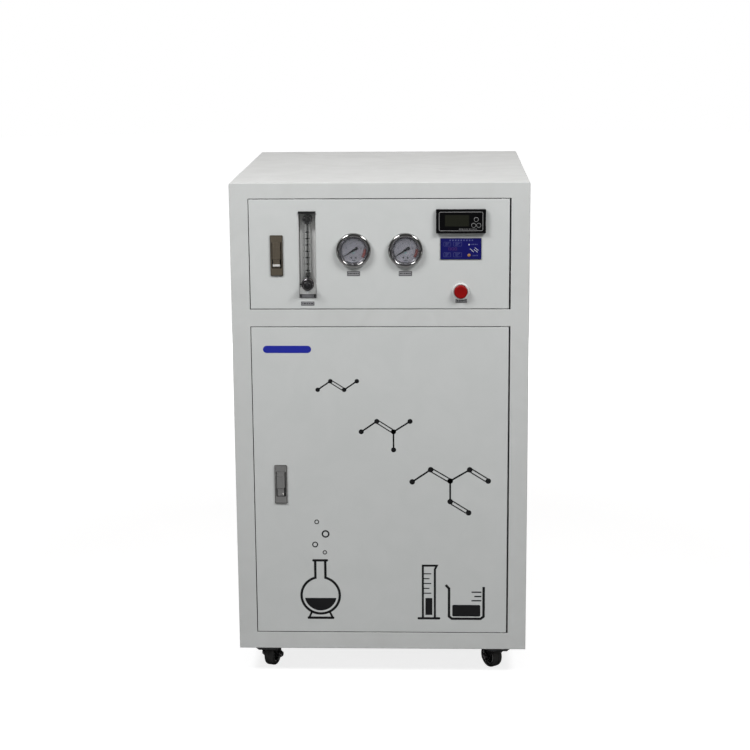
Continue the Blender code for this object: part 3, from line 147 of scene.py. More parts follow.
# effects that several finishes share
def orangePeelGroup():
    # the soft ripple of a baked coat, with a slow drift in its tone
    inputs = [("Scale", "NodeSocketFloat", 500), ("Drift", "NodeSocketFloat", 6)]
    group, entry, leave = makeGroup("orangePeel", inputs, ["Height", "Tone"])
    place = objectPlace(group)
    ripple = addNode(group, "TexNoise", {"Vector": place, "Scale": entry["Scale"], "Detail": 3})
    drift = addNode(group, "TexNoise", {"Vector": place, "Scale": entry["Drift"], "Detail": 4})
    group.links.new(ripple.outputs[0], leave["Height"])
    group.links.new(remap(group, drift.outputs[0], 0, 1, 0.3, 0.7), leave["Tone"])
    return group


def mouldGrainGroup():
    # the fine spark-eroded grain of moulded plastic
    inputs = [("Scale", "NodeSocketFloat", 1800), ("Drift", "NodeSocketFloat", 20)]
    group, entry, leave = makeGroup("mouldGrain", inputs, ["Height", "Tone"])
    place = objectPlace(group)
    pits = addNode(group, "TexVoronoi", {"Vector": place, "Scale": entry["Scale"]}, feature="SMOOTH_F1")
    drift = addNode(group, "TexNoise", {"Vector": place, "Scale": entry["Drift"], "Detail": 5})
    group.links.new(pits.outputs[0], leave["Height"])
    group.links.new(remap(group, drift.outputs[0], 0, 1, 0.3, 0.7), leave["Tone"])
    return group


def brushLinesGroup():
    # fine lines: they run along the axis whose Stretch is small
    inputs = [("Stretch", "NodeSocketVector", (900, 900, 12)), ("Detail", "NodeSocketFloat", 4)]
    group, entry, leave = makeGroup("brushLines", inputs, ["Height", "Tone"])
    drawn = addNode(group, "VectorMath", {0: objectPlace(group), 1: entry["Stretch"]}, operation="MULTIPLY")
    lines = addNode(group, "TexNoise", {"Vector": drawn.outputs[0], "Scale": 1, "Detail": entry["Detail"]})
    group.links.new(lines.outputs[0], leave["Height"])
    group.links.new(remap(group, lines.outputs[0], 0, 1, 0.35, 0.65), leave["Tone"])
    return group


def handlingMarksGroup():
    # broad smears and small spots left by hands and cloths
    inputs = [("Scale", "NodeSocketFloat", 9), ("Contrast", "NodeSocketFloat", 0.5)]
    group, entry, leave = makeGroup("handlingMarks", inputs, ["Mask"])
    smear = addNode(group, "TexNoise",
                    {"Vector": objectPlace(group), "Scale": entry["Scale"], "Detail": 6, "Distortion": 1.4})
    middle = remap(group, smear.outputs[0], 0, 1, 0.35, 0.68)
    group.links.new(times(group, middle, entry["Contrast"]), leave["Mask"])
    return group


def edgeWearGroup():
    # finds edges by how far a rounded normal leans from the true one
    inputs = [("Width", "NodeSocketFloat", 0.001), ("Amount", "NodeSocketFloat", 0.5)]
    group, entry, leave = makeGroup("edgeWear", inputs, ["Mask"])
    rounded = addNode(group, "Bevel", {"Radius": entry["Width"]}, samples=4).outputs[0]
    true = addNode(group, "NewGeometry").outputs["Normal"]
    lean = addNode(group, "VectorMath", {0: rounded, 1: true}, operation="DOT_PRODUCT").outputs["Value"]
    edge = remap(group, lean, 1, 0, 0.85, 0.995)
    chips = addNode(group, "TexNoise", {"Vector": objectPlace(group), "Scale": 120, "Detail": 4})
    broken = times(group, edge, remap(group, chips.outputs[0], 0, 1, 0.42, 0.62))
    group.links.new(times(group, broken, entry["Amount"]), leave["Mask"])
    return group


def settledDustGroup():
    # dust drifts on what faces up
    inputs = [("Amount", "NodeSocketFloat", 0.2), ("Scale", "NodeSocketFloat", 30)]
    group, entry, leave = makeGroup("settledDust", inputs, ["Mask"])
    normal = addNode(group, "NewGeometry").outputs["Normal"]
    upward = addNode(group, "SeparateXYZ", {0: normal}).outputs[2]
    drifts = addNode(group, "TexNoise",
                     {"Vector": objectPlace(group), "Scale": entry["Scale"], "Detail": 7})
    lying = remap(group, upward, 0, 1, 0.2, 1)
    patchy = remap(group, drifts.outputs[0], 0.2, 1, 0.35, 0.7)
    group.links.new(times(group, times(group, lying, patchy), entry["Amount"]), leave["Mask"])
    return group


effects = {
    "peel": orangePeelGroup(),
    "grain": mouldGrainGroup(),
    "brush": brushLinesGroup(),
    "marks": handlingMarksGroup(),
    "wear": edgeWearGroup(),
    "dust": settledDustGroup(),
}
print("effects ready")


finishLook = {"wearWidth": 0.0008, "dustColour": (0.5, 0.49, 0.47), "bump": 0.6, "coatRough": 0.12}


def makeFinish(name, colour, shade, rough, texture="grain", feel=(), depth=0.0, marks=0.5, markScale=12.0,
               grime=None, wear=0.0, wearColour=(0.7, 0.7, 0.7), dust=0.0, metal=0.0, coat=0.0, shine=0.5):
    finish = bpy.data.materials.new(name)
    finish.use_nodes = True
    tree = finish.node_tree
    shader = tree.nodes["Principled BSDF"].inputs
    surface = placeGroup(tree, effects[texture], dict(feel))
    smears = placeGroup(tree, effects["marks"], {"Scale": markScale, "Contrast": marks})["Mask"]
    tint = blendColours(tree, surface["Tone"], colour, shade)
    if grime:
        tint = blendColours(tree, smears, tint, grime)
    if wear:
        worn = placeGroup(tree, effects["wear"], {"Amount": wear, "Width": finishLook["wearWidth"]})["Mask"]
        tint = blendColours(tree, worn, tint, wearColour)
    if dust:
        film = placeGroup(tree, effects["dust"], {"Amount": dust})["Mask"]
        tint = blendColours(tree, film, tint, finishLook["dustColour"])
    tree.links.new(tint, shader["Base Color"])
    tree.links.new(remap(tree, smears, *rough), shader["Roughness"])
    if depth:
        links = {"Height": surface["Height"], "Distance": depth, "Strength": finishLook["bump"]}
        tree.links.new(addNode(tree, "Bump", links).outputs[0], shader["Normal"])
    shader["Metallic"].default_value = metal
    shader["Specular IOR Level"].default_value = shine
    shader["Coat Weight"].default_value = coat
    shader["Coat Roughness"].default_value = finishLook["coatRough"]
    return finish


# colours are (base, drifted base); rough is (clean, smeared); feel goes into the texture's group
alongZ = {"Stretch": (1400, 1400, 30)}
alongX = {"Stretch": (40, 1800, 1800)}
allWays = {"Stretch": (300, 300, 300)}
looks = {
    "cabinetWhite": dict(colour=(0.655, 0.668, 0.66), shade=(0.63, 0.643, 0.635), rough=(0.36, 0.46),
                         texture="peel", feel={"Scale": 520, "Drift": 5}, depth=0.00003, marks=0.6,
                         grime=(0.6, 0.61, 0.6), wear=0.35, wearColour=(0.74, 0.74, 0.73), dust=0.1),
    "doorWhite": dict(colour=(0.66, 0.675, 0.668), shade=(0.64, 0.655, 0.648), rough=(0.34, 0.44),
                      texture="peel", feel={"Scale": 560, "Drift": 4}, depth=0.00003,
                      grime=(0.61, 0.63, 0.62), wear=0.3, wearColour=(0.74, 0.75, 0.74)),
    "insideWhite": dict(colour=(0.58, 0.59, 0.58), shade=(0.54, 0.55, 0.54), rough=(0.42, 0.55),
                        texture="peel", depth=0.00004, grime=(0.45, 0.45, 0.43), dust=0.3),
    "bezelChrome": dict(colour=(0.42, 0.415, 0.41), shade=(0.35, 0.345, 0.34), rough=(0.05, 0.12), metal=1.0,
                        texture="brush", feel=allWays, marks=0.6, depth=0.000004),
    "ringSteel": dict(colour=(0.24, 0.23, 0.24), shade=(0.19, 0.18, 0.19), rough=(0.22, 0.34), metal=0.9,
                      texture="brush", feel=allWays, depth=0.000004),
    "caseBlack": dict(colour=(0.01, 0.01, 0.011), shade=(0.016, 0.016, 0.017), rough=(0.32, 0.46),
                      depth=0.00002, dust=0.08, shine=0.35),
    "glossBlack": dict(colour=(0.002, 0.002, 0.0024), shade=(0.004, 0.004, 0.0045), rough=(0.16, 0.26),
                       depth=0.00001, shine=0.25),
    "needleBlack": dict(colour=(0.004, 0.004, 0.005), shade=(0.007, 0.007, 0.007), rough=(0.45, 0.55),
                        shine=0.2),
    # painted shade: the dial is a dark grey, the dimming under its lens and bezel painted into its colour
    "dialShadedLilac": dict(colour=(0.112, 0.109, 0.122), shade=(0.094, 0.092, 0.104), rough=(0.45, 0.55),
                      texture="peel", depth=0.000005),
    "dialInk": dict(colour=(0.008, 0.008, 0.01), shade=(0.016, 0.016, 0.018), rough=(0.5, 0.6), shine=0.25),
    "dialRed": dict(colour=(0.085, 0.006, 0.005), shade=(0.065, 0.005, 0.004), rough=(0.45, 0.55)),
    "dialGreen": dict(colour=(0.03, 0.16, 0.13), shade=(0.02, 0.12, 0.1), rough=(0.45, 0.55)),
    "latchBronze": dict(colour=(0.16, 0.134, 0.1), shade=(0.128, 0.108, 0.08), rough=(0.28, 0.42),
                        metal=0.35, texture="brush", feel=alongZ, depth=0.000008, wear=0.5,
                        wearColour=(0.3, 0.27, 0.22)),
    "latchSilver": dict(colour=(0.27, 0.27, 0.266), shade=(0.22, 0.22, 0.217), rough=(0.26, 0.4),
                        metal=0.35, texture="brush", feel=alongZ, depth=0.000008, wear=0.5,
                        wearColour=(0.6, 0.6, 0.58)),
    # painted shade: a dark stroke round each latch flange, standing in for the dark reflection on its bevel
    "latchShadeInk": dict(colour=(0.045, 0.043, 0.038), shade=(0.035, 0.033, 0.029), rough=(0.34, 0.46),
                          metal=0.3, texture="brush", feel=alongZ),
    # painted highlight: a pale polished metal, much lighter than the latches, for the glint on the thumb
    # ridge and the stud
    "latchPaleGlint": dict(colour=(0.62, 0.61, 0.59), shade=(0.57, 0.56, 0.54), rough=(0.34, 0.42), metal=0.6,
                        texture="brush", feel=alongX, depth=0.000004),
    "zincPlate": dict(colour=(0.5, 0.51, 0.5), shade=(0.4, 0.41, 0.4), rough=(0.28, 0.45), metal=1.0,
                      texture="peel", feel={"Scale": 900, "Drift": 40}, depth=0.00001),
    "brassTurned": dict(colour=(0.56, 0.4, 0.18), shade=(0.46, 0.33, 0.15), rough=(0.22, 0.36), metal=1.0,
                        texture="brush", feel=alongX, depth=0.000006),
    "filmBlue": dict(colour=(0.006, 0.006, 0.12), shade=(0.009, 0.009, 0.095), rough=(0.3, 0.4),
                     depth=0.000006, shine=0.3),
    "inkPale": dict(colour=(0.1, 0.11, 0.28), shade=(0.08, 0.09, 0.23), rough=(0.35, 0.45)),
    "inkRose": dict(colour=(0.12, 0.04, 0.16), shade=(0.09, 0.03, 0.13), rough=(0.35, 0.45)),
    "inkWhite": dict(colour=(0.75, 0.77, 0.8), shade=(0.66, 0.68, 0.72), rough=(0.35, 0.45)),
    "inkOrange": dict(colour=(0.42, 0.22, 0.06), shade=(0.34, 0.17, 0.05), rough=(0.35, 0.45)),
    "inkBlack": dict(colour=(0.005, 0.005, 0.006), shade=(0.009, 0.009, 0.01), rough=(0.45, 0.56),
                     depth=0.000004, shine=0.25),
    "inkBlue": dict(colour=(0.012, 0.02, 0.36), shade=(0.016, 0.026, 0.31), rough=(0.34, 0.44),
                    depth=0.000004),
    "inkGrey": dict(colour=(0.16, 0.16, 0.17), shade=(0.12, 0.12, 0.13), rough=(0.4, 0.5)),
    "tagGrey": dict(colour=(0.4, 0.4, 0.41), shade=(0.34, 0.34, 0.35), rough=(0.38, 0.48), metal=0.3,
                    texture="brush", feel=alongX, depth=0.000004),
    "tagDark": dict(colour=(0.035, 0.035, 0.04), shade=(0.06, 0.06, 0.065), rough=(0.4, 0.5)),
    "lcdOlive": dict(colour=(0.011, 0.012, 0.008), shade=(0.015, 0.016, 0.01), rough=(0.22, 0.3),
                     texture="peel"),
    "lineGrey": dict(colour=(0.3, 0.3, 0.3), shade=(0.25, 0.25, 0.25), rough=(0.3, 0.4)),
    "capRed": dict(colour=(0.29, 0.001, 0.001), shade=(0.24, 0.001, 0.001), rough=(0.38, 0.5),
                   depth=0.00001, wear=0.3, wearColour=(0.34, 0.01, 0.01), shine=0.25),
    "rimWhite": dict(colour=(0.7, 0.71, 0.7), shade=(0.64, 0.65, 0.64), rough=(0.3, 0.42), depth=0.00001),
    "casterBlack": dict(colour=(0.012, 0.012, 0.013), shade=(0.02, 0.02, 0.021), rough=(0.24, 0.38),
                        depth=0.00002, dust=0.15, wear=0.4, wearColour=(0.1, 0.1, 0.1)),
    "treadRubber": dict(colour=(0.014, 0.014, 0.015), shade=(0.024, 0.024, 0.025), rough=(0.5, 0.7),
                        depth=0.00004, marks=0.7, grime=(0.05, 0.048, 0.045)),
    "bowlBlue": dict(colour=(0.015, 0.075, 0.3), shade=(0.012, 0.06, 0.25), rough=(0.2, 0.32),
                     depth=0.00001, dust=0.1),
    "headGrey": dict(colour=(0.035, 0.036, 0.038), shade=(0.05, 0.05, 0.052), rough=(0.38, 0.5),
                     depth=0.00002, dust=0.15),
    "vesselWhite": dict(colour=(0.62, 0.63, 0.62), shade=(0.56, 0.57, 0.56), rough=(0.28, 0.4),
                        depth=0.00001, dust=0.12),
    "tankFibre": dict(colour=(0.5, 0.5, 0.46), shade=(0.42, 0.42, 0.38), rough=(0.3, 0.42),
                      texture="brush", feel={"Stretch": (90, 90, 700)}, depth=0.00006, dust=0.1),
    "hoseWhite": dict(colour=(0.66, 0.68, 0.68), shade=(0.58, 0.6, 0.6), rough=(0.25, 0.35), depth=0.00001),
    "hoseBlue": dict(colour=(0.03, 0.12, 0.42), shade=(0.03, 0.1, 0.36), rough=(0.25, 0.35), depth=0.00001),
    "pumpPaint": dict(colour=(0.018, 0.019, 0.021), shade=(0.03, 0.03, 0.032), rough=(0.35, 0.5),
                      texture="peel", depth=0.00005, dust=0.25),
    "aluPlain": dict(colour=(0.52, 0.53, 0.53), shade=(0.44, 0.45, 0.45), rough=(0.28, 0.42), metal=1.0,
                     texture="brush", feel=alongX, depth=0.00001, dust=0.12),
    "terminalGreen": dict(colour=(0.02, 0.16, 0.06), shade=(0.02, 0.12, 0.05), rough=(0.35, 0.45),
                          depth=0.00001),
    "wireRed": dict(colour=(0.4, 0.012, 0.012), shade=(0.34, 0.01, 0.01), rough=(0.35, 0.45)),
    "wireBlack": dict(colour=(0.014, 0.014, 0.015), shade=(0.02, 0.02, 0.02), rough=(0.4, 0.5)),
    "backingGrey": dict(colour=(0.86, 0.86, 0.85), shade=(0.8, 0.8, 0.79), rough=(0.5, 0.6)),
    "paperWhite": dict(colour=(0.72, 0.72, 0.7), shade=(0.66, 0.66, 0.64), rough=(0.5, 0.6)),
}
finishes = {name: makeFinish(name, **look) for name, look in looks.items()}


acrylicLook = {"colour": (0.62, 0.63, 0.62), "shade": (0.54, 0.56, 0.55), "facing": 0.03, "grazing": 0.35,
               "slant": 0.35, "smears": {"Scale": 25, "Contrast": 0.4}, "rough": (0.05, 0.14), "bend": 1.49}
# a bloomed lens bends light less
glassLook = {"tint": (0.93, 0.94, 0.95, 1), "smears": {"Scale": 60, "Contrast": 0.3}, "rough": (0.01, 0.03),
             "bend": 1.18}


def makeAcrylic(name):
    # more of the plastic shows where the eye meets it at a slant
    finish = bpy.data.materials.new(name)
    finish.use_nodes = True
    tree = finish.node_tree
    shader = tree.nodes["Principled BSDF"].inputs
    smears = placeGroup(tree, effects["marks"], acrylicLook["smears"])["Mask"]
    tree.links.new(remap(tree, smears, *acrylicLook["rough"]), shader["Roughness"])
    tint = blendColours(tree, smears, acrylicLook["colour"], acrylicLook["shade"])
    tree.links.new(tint, shader["Base Color"])
    slant = addNode(tree, "LayerWeight", {"Blend": acrylicLook["slant"]}).outputs["Facing"]
    tree.links.new(remap(tree, slant, acrylicLook["facing"], acrylicLook["grazing"]), shader["Alpha"])
    shader["IOR"].default_value = acrylicLook["bend"]
    return finish


def makeGlass(name):
    # the glass lets lamp light through to the dial under it
    finish = bpy.data.materials.new(name)
    finish.use_nodes = True
    tree = finish.node_tree
    shader = tree.nodes["Principled BSDF"]
    shader.inputs["Base Color"].default_value = glassLook["tint"]
    shader.inputs["Transmission Weight"].default_value = 1.0
    shader.inputs["IOR"].default_value = glassLook["bend"]
    smears = placeGroup(tree, effects["marks"], glassLook["smears"])["Mask"]
    tree.links.new(remap(tree, smears, *glassLook["rough"]), shader.inputs["Roughness"])
    through = addNode(tree, "BsdfTransparent", {"Color": glassLook["tint"]})
    lampRay = addNode(tree, "LightPath").outputs["Is Shadow Ray"]
    mixed = addNode(tree, "MixShader", {0: lampRay, 1: shader.outputs[0], 2: through.outputs[0]})
    tree.links.new(mixed.outputs[0], tree.nodes["Material Output"].inputs["Surface"])
    return finish


finishes["acrylicClear"] = makeAcrylic("acrylicClear")
finishes["lensGlass"] = makeGlass("lensGlass")
print("finishes ready:", len(finishes))


# shape tools: each gives or fills a bmesh
def everyEdge(a, b, low, high):
    return True


def frontRim(a, b, low, high):
    return max(a.y, b.y) < low.y + tiny


def depthEdge(a, b, low, high):
    return abs(a.x - b.x) < tiny and abs(a.z - b.z) < tiny


def topFold(a, b, low, high):
    return depthEdge(a, b, low, high) and a.z > high.z - tiny


def roundedBox(low, high, *rounds):
    # rounds are (radius, segments, chooser), made in turn
    low, high = Vector(low), Vector(high)
    shape = bmesh.new()
    bmesh.ops.create_cube(shape, size=1)
    for corner in shape.verts:
        corner.co = Vector([low[i] + (corner.co[i] + 0.5) * (high[i] - low[i]) for i in range(3)])
    for radius, segments, chosen in rounds:
        edges = [edge for edge in shape.edges if chosen(*(v.co for v in edge.verts), low, high)]
        bmesh.ops.bevel(shape, geom=edges, offset=radius, segments=segments, profile=0.5, affect="EDGES")
    return shape


def softBox(low, high, radius, segments=2):
    return roundedBox(low, high, (radius, segments, everyEdge))


def mergeInto(shape, *others):
    for other in others:
        mesh = bpy.data.meshes.new("merged")
        other.to_mesh(mesh)
        other.free()
        shape.from_mesh(mesh)
        bpy.data.meshes.remove(mesh)
    return shape


def addBox(shape, low, high, radius, segments=2):
    mergeInto(shape, softBox(low, high, radius, segments))


def mergeMoved(shape, part, move):
    bmesh.ops.transform(part, matrix=move, verts=part.verts)
    mergeInto(shape, part)


def spun(place, turn, toAxis=Matrix()):
    # turned about its own z, then to its axis, then moved to its place
    return Matrix.Translation(place) @ toAxis @ Matrix.Rotation(turn, 4, "Z")


def cylinder(radius, near, far):
    # a profile for a turned piece, like the next two
    return [(0, near), (radius, near), (radius, far), (0, far)]


def sleeve(inner, outer, near, far):
    return [(inner, near), (outer, near), (outer, far), (inner, far)]


def mirrored(side):
    # a profile that is the same on both sides of its middle plane
    return side + [(a, -b) for a, b in side[::-1]]


def addTurned(shape, profile, origin, axis, steps=64, loop=False):
    # profile has (radius, along) points; a third number gives that ring flat sides
    axis, origin = Vector(axis).normalized(), Vector(origin)
    side = axis.orthogonal().normalized()
    other = axis.cross(side)
    rings = []
    for radius, along, *sides in profile:
        heart = origin + axis * along
        if radius == 0:
            rings.append([shape.verts.new(heart)])
            continue
        ring = []
        for step in range(steps):
            turn = 2 * math.pi * step / steps
            reach = radius
            if sides:
                half = math.pi / sides[0]
                reach *= math.cos(half) / math.cos(turn % (2 * half) - half)
            ring.append(shape.verts.new(heart + (side * math.cos(turn) + other * math.sin(turn)) * reach))
        rings.append(ring)
    pairs = list(zip(rings, rings[1:])) + ([(rings[-1], rings[0])] if loop else [])
    for first, second in pairs:
        for step in range(steps if len(first) + len(second) > 2 else 0):
            corners = [first[step % len(first)], first[(step + 1) % steps % len(first)],
                       second[(step + 1) % steps % len(second)], second[step % len(second)]]
            shape.faces.new(list(dict.fromkeys(corners)))
    return shape


def turned(profile, origin, axis, steps=64, loop=False):
    return addTurned(bmesh.new(), profile, origin, axis, steps, loop)


def addFlat(shape, loops, face, thick=inkThick, out=-1):
    # a flat solid from (x, z) loops, standing on the plane y = face: first its outline, then its holes
    flat = [[Vector((x, z, 0)) for x, z in loop] for loop in loops]
    points = [point for loop in flat for point in loop]
    near = [shape.verts.new((p.x, face, p.y)) for p in points]
    far = [shape.verts.new((p.x, face + out * thick, p.y)) for p in points]
    for a, b, c in tessellate_polygon(flat):
        shape.faces.new((near[a], near[b], near[c]))
        shape.faces.new((far[c], far[b], far[a]))
    start = 0
    for loop in flat:
        for i in range(len(loop)):
            a, b = start + i, start + (i + 1) % len(loop)
            shape.faces.new((near[a], near[b], far[b], far[a]))
        start += len(loop)
    return shape


def arc(x, z, radius, start=0, end=360, steps=32):
    # degrees, anticlockwise from the reader's right; a full turn leaves out its last point
    count = steps if end - start == 360 else steps + 1
    turns = [math.radians(start + (end - start) * i / steps) for i in range(count)]
    return [(x + radius * math.cos(t), z + radius * math.sin(t)) for t in turns]


def rectangle(x0, z0, x1, z1, corner=0.0):
    if not corner:
        return [(x0, z0), (x1, z0), (x1, z1), (x0, z1)]
    centres = ((x1 - corner, z1 - corner, 0), (x0 + corner, z1 - corner, 90),
               (x0 + corner, z0 + corner, 180), (x1 - corner, z0 + corner, 270))
    return [point for x, z, turn in centres for point in arc(x, z, corner, turn, turn + 90, 5)]


def ringBand(x, z, outer, inner, steps=48):
    return [arc(x, z, outer, steps=steps), arc(x, z, inner, steps=steps)]


def stroke(points, width, closed=False):
    # the outline of a line of one width, with mitred corners
    left, right = [], []
    count = len(points)
    for i, point in enumerate(points):
        here = Vector(point)
        ways = []
        if closed or i:
            ways.append((here - Vector(points[i - 1])).normalized())
        if closed or i < count - 1:
            ways.append((Vector(points[(i + 1) % count]) - here).normalized())
        along = sum(ways, Vector((0, 0))).normalized()
        reach = width / 2 / max(0.35, along.dot(ways[0]))
        across = Vector((-along.y, along.x)) * reach
        left.append(tuple(here + across))
        right.append(tuple(here - across))
    return [left, right] if closed else [left + right[::-1]]


def addNumber(shape, text, size, x, z, face):
    # a generic number on a scale, standing on the plane y = face
    letters = bpy.data.curves.new("number", "FONT")
    letters.body, letters.size, letters.extrude = text, size, inkThick / 2
    letters.align_x, letters.align_y, letters.resolution_u = "CENTER", "CENTER", 2
    holder = bpy.data.objects.new("number", letters)
    mesh = holder.to_mesh()
    mesh.transform(Matrix.Translation((x, face - inkThick / 2, z)) @ Matrix.Rotation(math.pi / 2, 4, "X"))
    shape.from_mesh(mesh)
    holder.to_mesh_clear()
    bpy.data.objects.remove(holder)
    bpy.data.curves.remove(letters)
    return shape


def combined(shape, others, operation="DIFFERENCE"):
    # joins or cuts with Blender's exact solver and gives a new bmesh
    objects = []
    for part in (shape, *others):
        mesh = bpy.data.meshes.new("part")
        bmesh.ops.recalc_face_normals(part, faces=part.faces)
        part.to_mesh(mesh)
        part.free()
        objects.append(bpy.data.objects.new("part", mesh))
        bpy.context.scene.collection.objects.link(objects[-1])
    for tool in objects[1:]:
        modifier = objects[0].modifiers.new("combine", "BOOLEAN")
        modifier.operation, modifier.solver, modifier.object = operation, "EXACT", tool
    result = bmesh.new()
    result.from_object(objects[0], bpy.context.evaluated_depsgraph_get())
    for part in objects:
        mesh = part.data
        bpy.data.objects.remove(part)
        bpy.data.meshes.remove(mesh)
    return result


def addPiece(name, shape, finish, body, replaced=(), crease=32):
    bmesh.ops.recalc_face_normals(shape, faces=shape.faces)
    mesh = bpy.data.meshes.new(name)
    shape.to_mesh(mesh)
    shape.free()
    mesh.materials.append(finishes[finish])
    mesh.shade_smooth()
    mesh.set_sharp_from_angle(angle=math.radians(crease))
    piece = bpy.data.objects.new(name, mesh)
    bpy.context.scene.collection.objects.link(piece)
    even = piece.modifiers.new("evenNormals", "WEIGHTED_NORMAL")
    even.keep_sharp = True
    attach(piece, body)
    if replaced:
        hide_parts(*replaced)
    return piece


def cadShape(node):
    # a copy of a solid's mesh with its flat faces whole again
    shape = bmesh.new()
    shape.from_mesh(cadNodes[node].data)
    bmesh.ops.remove_doubles(shape, verts=shape.verts, dist=1e-6)
    limit = math.radians(0.4)
    bmesh.ops.dissolve_limit(shape, angle_limit=limit, verts=shape.verts, edges=shape.edges)
    return shape


def dressNode(name, node, finish, crease=32):
    # the solid's own form, shaded smooth and given its finish
    return addPiece(name, cadShape(node), finish, body_of(cadNodes[node])[0], [node], crease)


def coatNode(node, finish):
    mesh = cadNodes[node].data
    mesh.materials.clear()
    mesh.materials.append(finishes[finish])


def addHose(name, points, radius, finish, body):
    curve = bpy.data.curves.new(name, "CURVE")
    curve.dimensions, curve.bevel_depth, curve.bevel_resolution = "3D", radius, 4
    curve.resolution_u, curve.use_fill_caps = 12, True
    spline = curve.splines.new("BEZIER")
    spline.bezier_points.add(len(points) - 1)
    for knot, point in zip(spline.bezier_points, points):
        knot.co = point
        knot.handle_left_type = knot.handle_right_type = "AUTO"
    curve.materials.append(finishes[finish])
    piece = bpy.data.objects.new(name, curve)
    bpy.context.scene.collection.objects.link(piece)
    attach(piece, body)
    return piece


def screwHead(shape, place, axis, radius=0.004, proud=0.0022):
    # a button head with a hexagon socket
    profile = [(0, proud * 0.35), (radius * 0.42, proud * 0.35, 6), (radius * 0.42, proud * 0.96, 6),
               (radius * 0.62, proud), (radius * 0.85, proud * 0.72), (radius, proud * 0.25), (radius, 0),
               (radius * 0.5, 0), (radius * 0.5, -0.003), (0, -0.003)]
    return addTurned(shape, profile, place, axis, 24)


def hexHead(shape, place, axis, radius=0.0055, proud=0.0035):
    profile = [(0, proud), (radius * 0.8, proud), (radius, proud * 0.82, 6), (radius, 0.0004, 6),
               (radius * 1.25, 0.0004), (radius * 1.25, -0.0004), (0, -0.0004)]
    return addTurned(shape, profile, place, axis, 36)


print("tools ready")


# cabinet: one folded skin with the front frame worked into it
cabinetLook = {"sheet": 0.0015, "fold": 0.004, "rim": 0.0022, "gap": 0.0015, "land": 0.02,
               "openingEdge": 0.0009, "ahead": 0.01, "through": 0.03}


def openingCorners(door, grow=0.0):
    low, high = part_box(door)
    side = -low.x + cabinetLook["gap"] + grow
    return (-side, low.z - cabinetLook["gap"] - grow), (side, high.z + cabinetLook["gap"] + grow)


def cabinetSkin():
    low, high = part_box("front_frame")
    rear, sheet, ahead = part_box("outer_wrap")[1].y, cabinetLook["sheet"], cabinetLook["ahead"]
    rounds = [(cabinetLook["fold"], 7, topFold), (cabinetLook["rim"], 5, frontRim)]
    skin = roundedBox(low, (high.x, rear, high.z), *rounds)
    hollow = roundedBox((low.x + sheet, low.y + sheet, low.z - ahead),
                        (high.x - sheet, rear + ahead, high.z - sheet),
                        (cabinetLook["fold"] - sheet, 5, topFold))
    skin = combined(skin, [hollow])
    doors = ("upper_door", "lower_door")
    lands, holes = [], []
    for door in doors:
        for grow, boxes, near, far in ((sheet, lands, sheet / 2, cabinetLook["land"]),
                                       (0, holes, -cabinetLook["ahead"], cabinetLook["through"])):
            (x0, z0), (x1, z1) = openingCorners(door, grow)
            boxes.append(roundedBox((x0, low.y + near, z0), (x1, low.y + far, z1)))
    skin = combined(skin, lands, "UNION")
    skin = combined(skin, holes)
    edges = []
    for door in doors:
        (x0, z0), (x1, z1) = openingCorners(door)
        for edge in skin.edges:
            a, b = (v.co for v in edge.verts)
            onFace = max(a.y, b.y) < low.y + tiny
            onSide = any(abs(a.x - x) < tiny and abs(b.x - x) < tiny for x in (x0, x1))
            onLevel = any(abs(a.z - z) < tiny and abs(b.z - z) < tiny for z in (z0, z1))
            inside = all(x0 - tiny < p.x < x1 + tiny and z0 - tiny < p.z < z1 + tiny for p in (a, b))
            if onFace and inside and (onSide or onLevel):
                edges.append(edge)
    bmesh.ops.bevel(skin, geom=edges, offset=cabinetLook["openingEdge"], segments=3, profile=0.5,
                    affect="EDGES")
    return skin


addPiece("cabinetSkin", cabinetSkin(), "cabinetWhite", "cabinet", ["outer_wrap", "front_frame"],
         30)
for node in ("base_pan", "mid_shelf", "back_panel"):
    coatNode(node, "insideWhite")
dressNode("upperDoorLeaf", "upper_door", "doorWhite")
dressNode("lowerDoorLeaf", "lower_door", "doorWhite")


# door pivots: pins with a flange washer in each gap
pivotLook = {"washer": 0.0062, "thick": 0.0009, "hole": 0.0047, "clear": 0.0002}
for door in ("upper_door", "lower_door"):
    low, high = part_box(door)
    for end, level in (("top", high.z), ("bottom", low.z)):
        pin = f"{door}_{end}_pin"
        dressNode(f"{door.split('_')[0]}{end.title()}PivotPin", pin, "zincPlate")
        heart = middleOf(pin)
        way = 1 if end == "top" else -1
        r, t = pivotLook["washer"], pivotLook["thick"]
        clear = pivotLook["clear"]
        rings = sleeve(pivotLook["hole"], r, clear, clear + t)
        washer = turned(rings, (heart.x, heart.y, level), (0, 0, way), 40, loop=True)
        addPiece(f"{door.split('_')[0]}{end.title()}PivotWasher", washer, "zincPlate", door)


# painted shade: black strips on the walls of the openings and on the doors' free edges, so the gaps round
# the doors read dark
gapShadeLook = {"thick": 0.0002, "behind": 0.001, "deep": 0.015, "hingeClear": 0.016}


def paintedGapShade(door):
    low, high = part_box(door)
    thick, near = gapShadeLook["thick"], low.y + gapShadeLook["behind"]
    end = high.x - gapShadeLook["hingeClear"]
    (x0, z0), (x1, z1) = openingCorners(door)
    loops = [rectangle(x0, z0, x1, z1), rectangle(x0 + thick, z0 + thick, x1 - thick, z1 - thick)]
    name = door.split("_")[0]
    # a black band round each opening, painted shade in the gap
    addPiece(name + "OpeningGapShade", addFlat(bmesh.new(), loops, near, gapShadeLook["deep"], 1), "needleBlack",
             "cabinet")
    # black bands on the door's free edges, painted shade in the gap
    doorShade = bmesh.new()
    for corners in ((low.x - thick, low.z, low.x, high.z), (low.x, high.z, end, high.z + thick),
                    (low.x, low.z - thick, end, low.z)):
        addFlat(doorShade, [rectangle(*corners)], near, gapShadeLook["deep"], 1)
    addPiece(name + "DoorGapShade", doorShade, "needleBlack", door)


for door in ("upper_door", "lower_door"):
    paintedGapShade(door)
print("cabinet and doors ready")


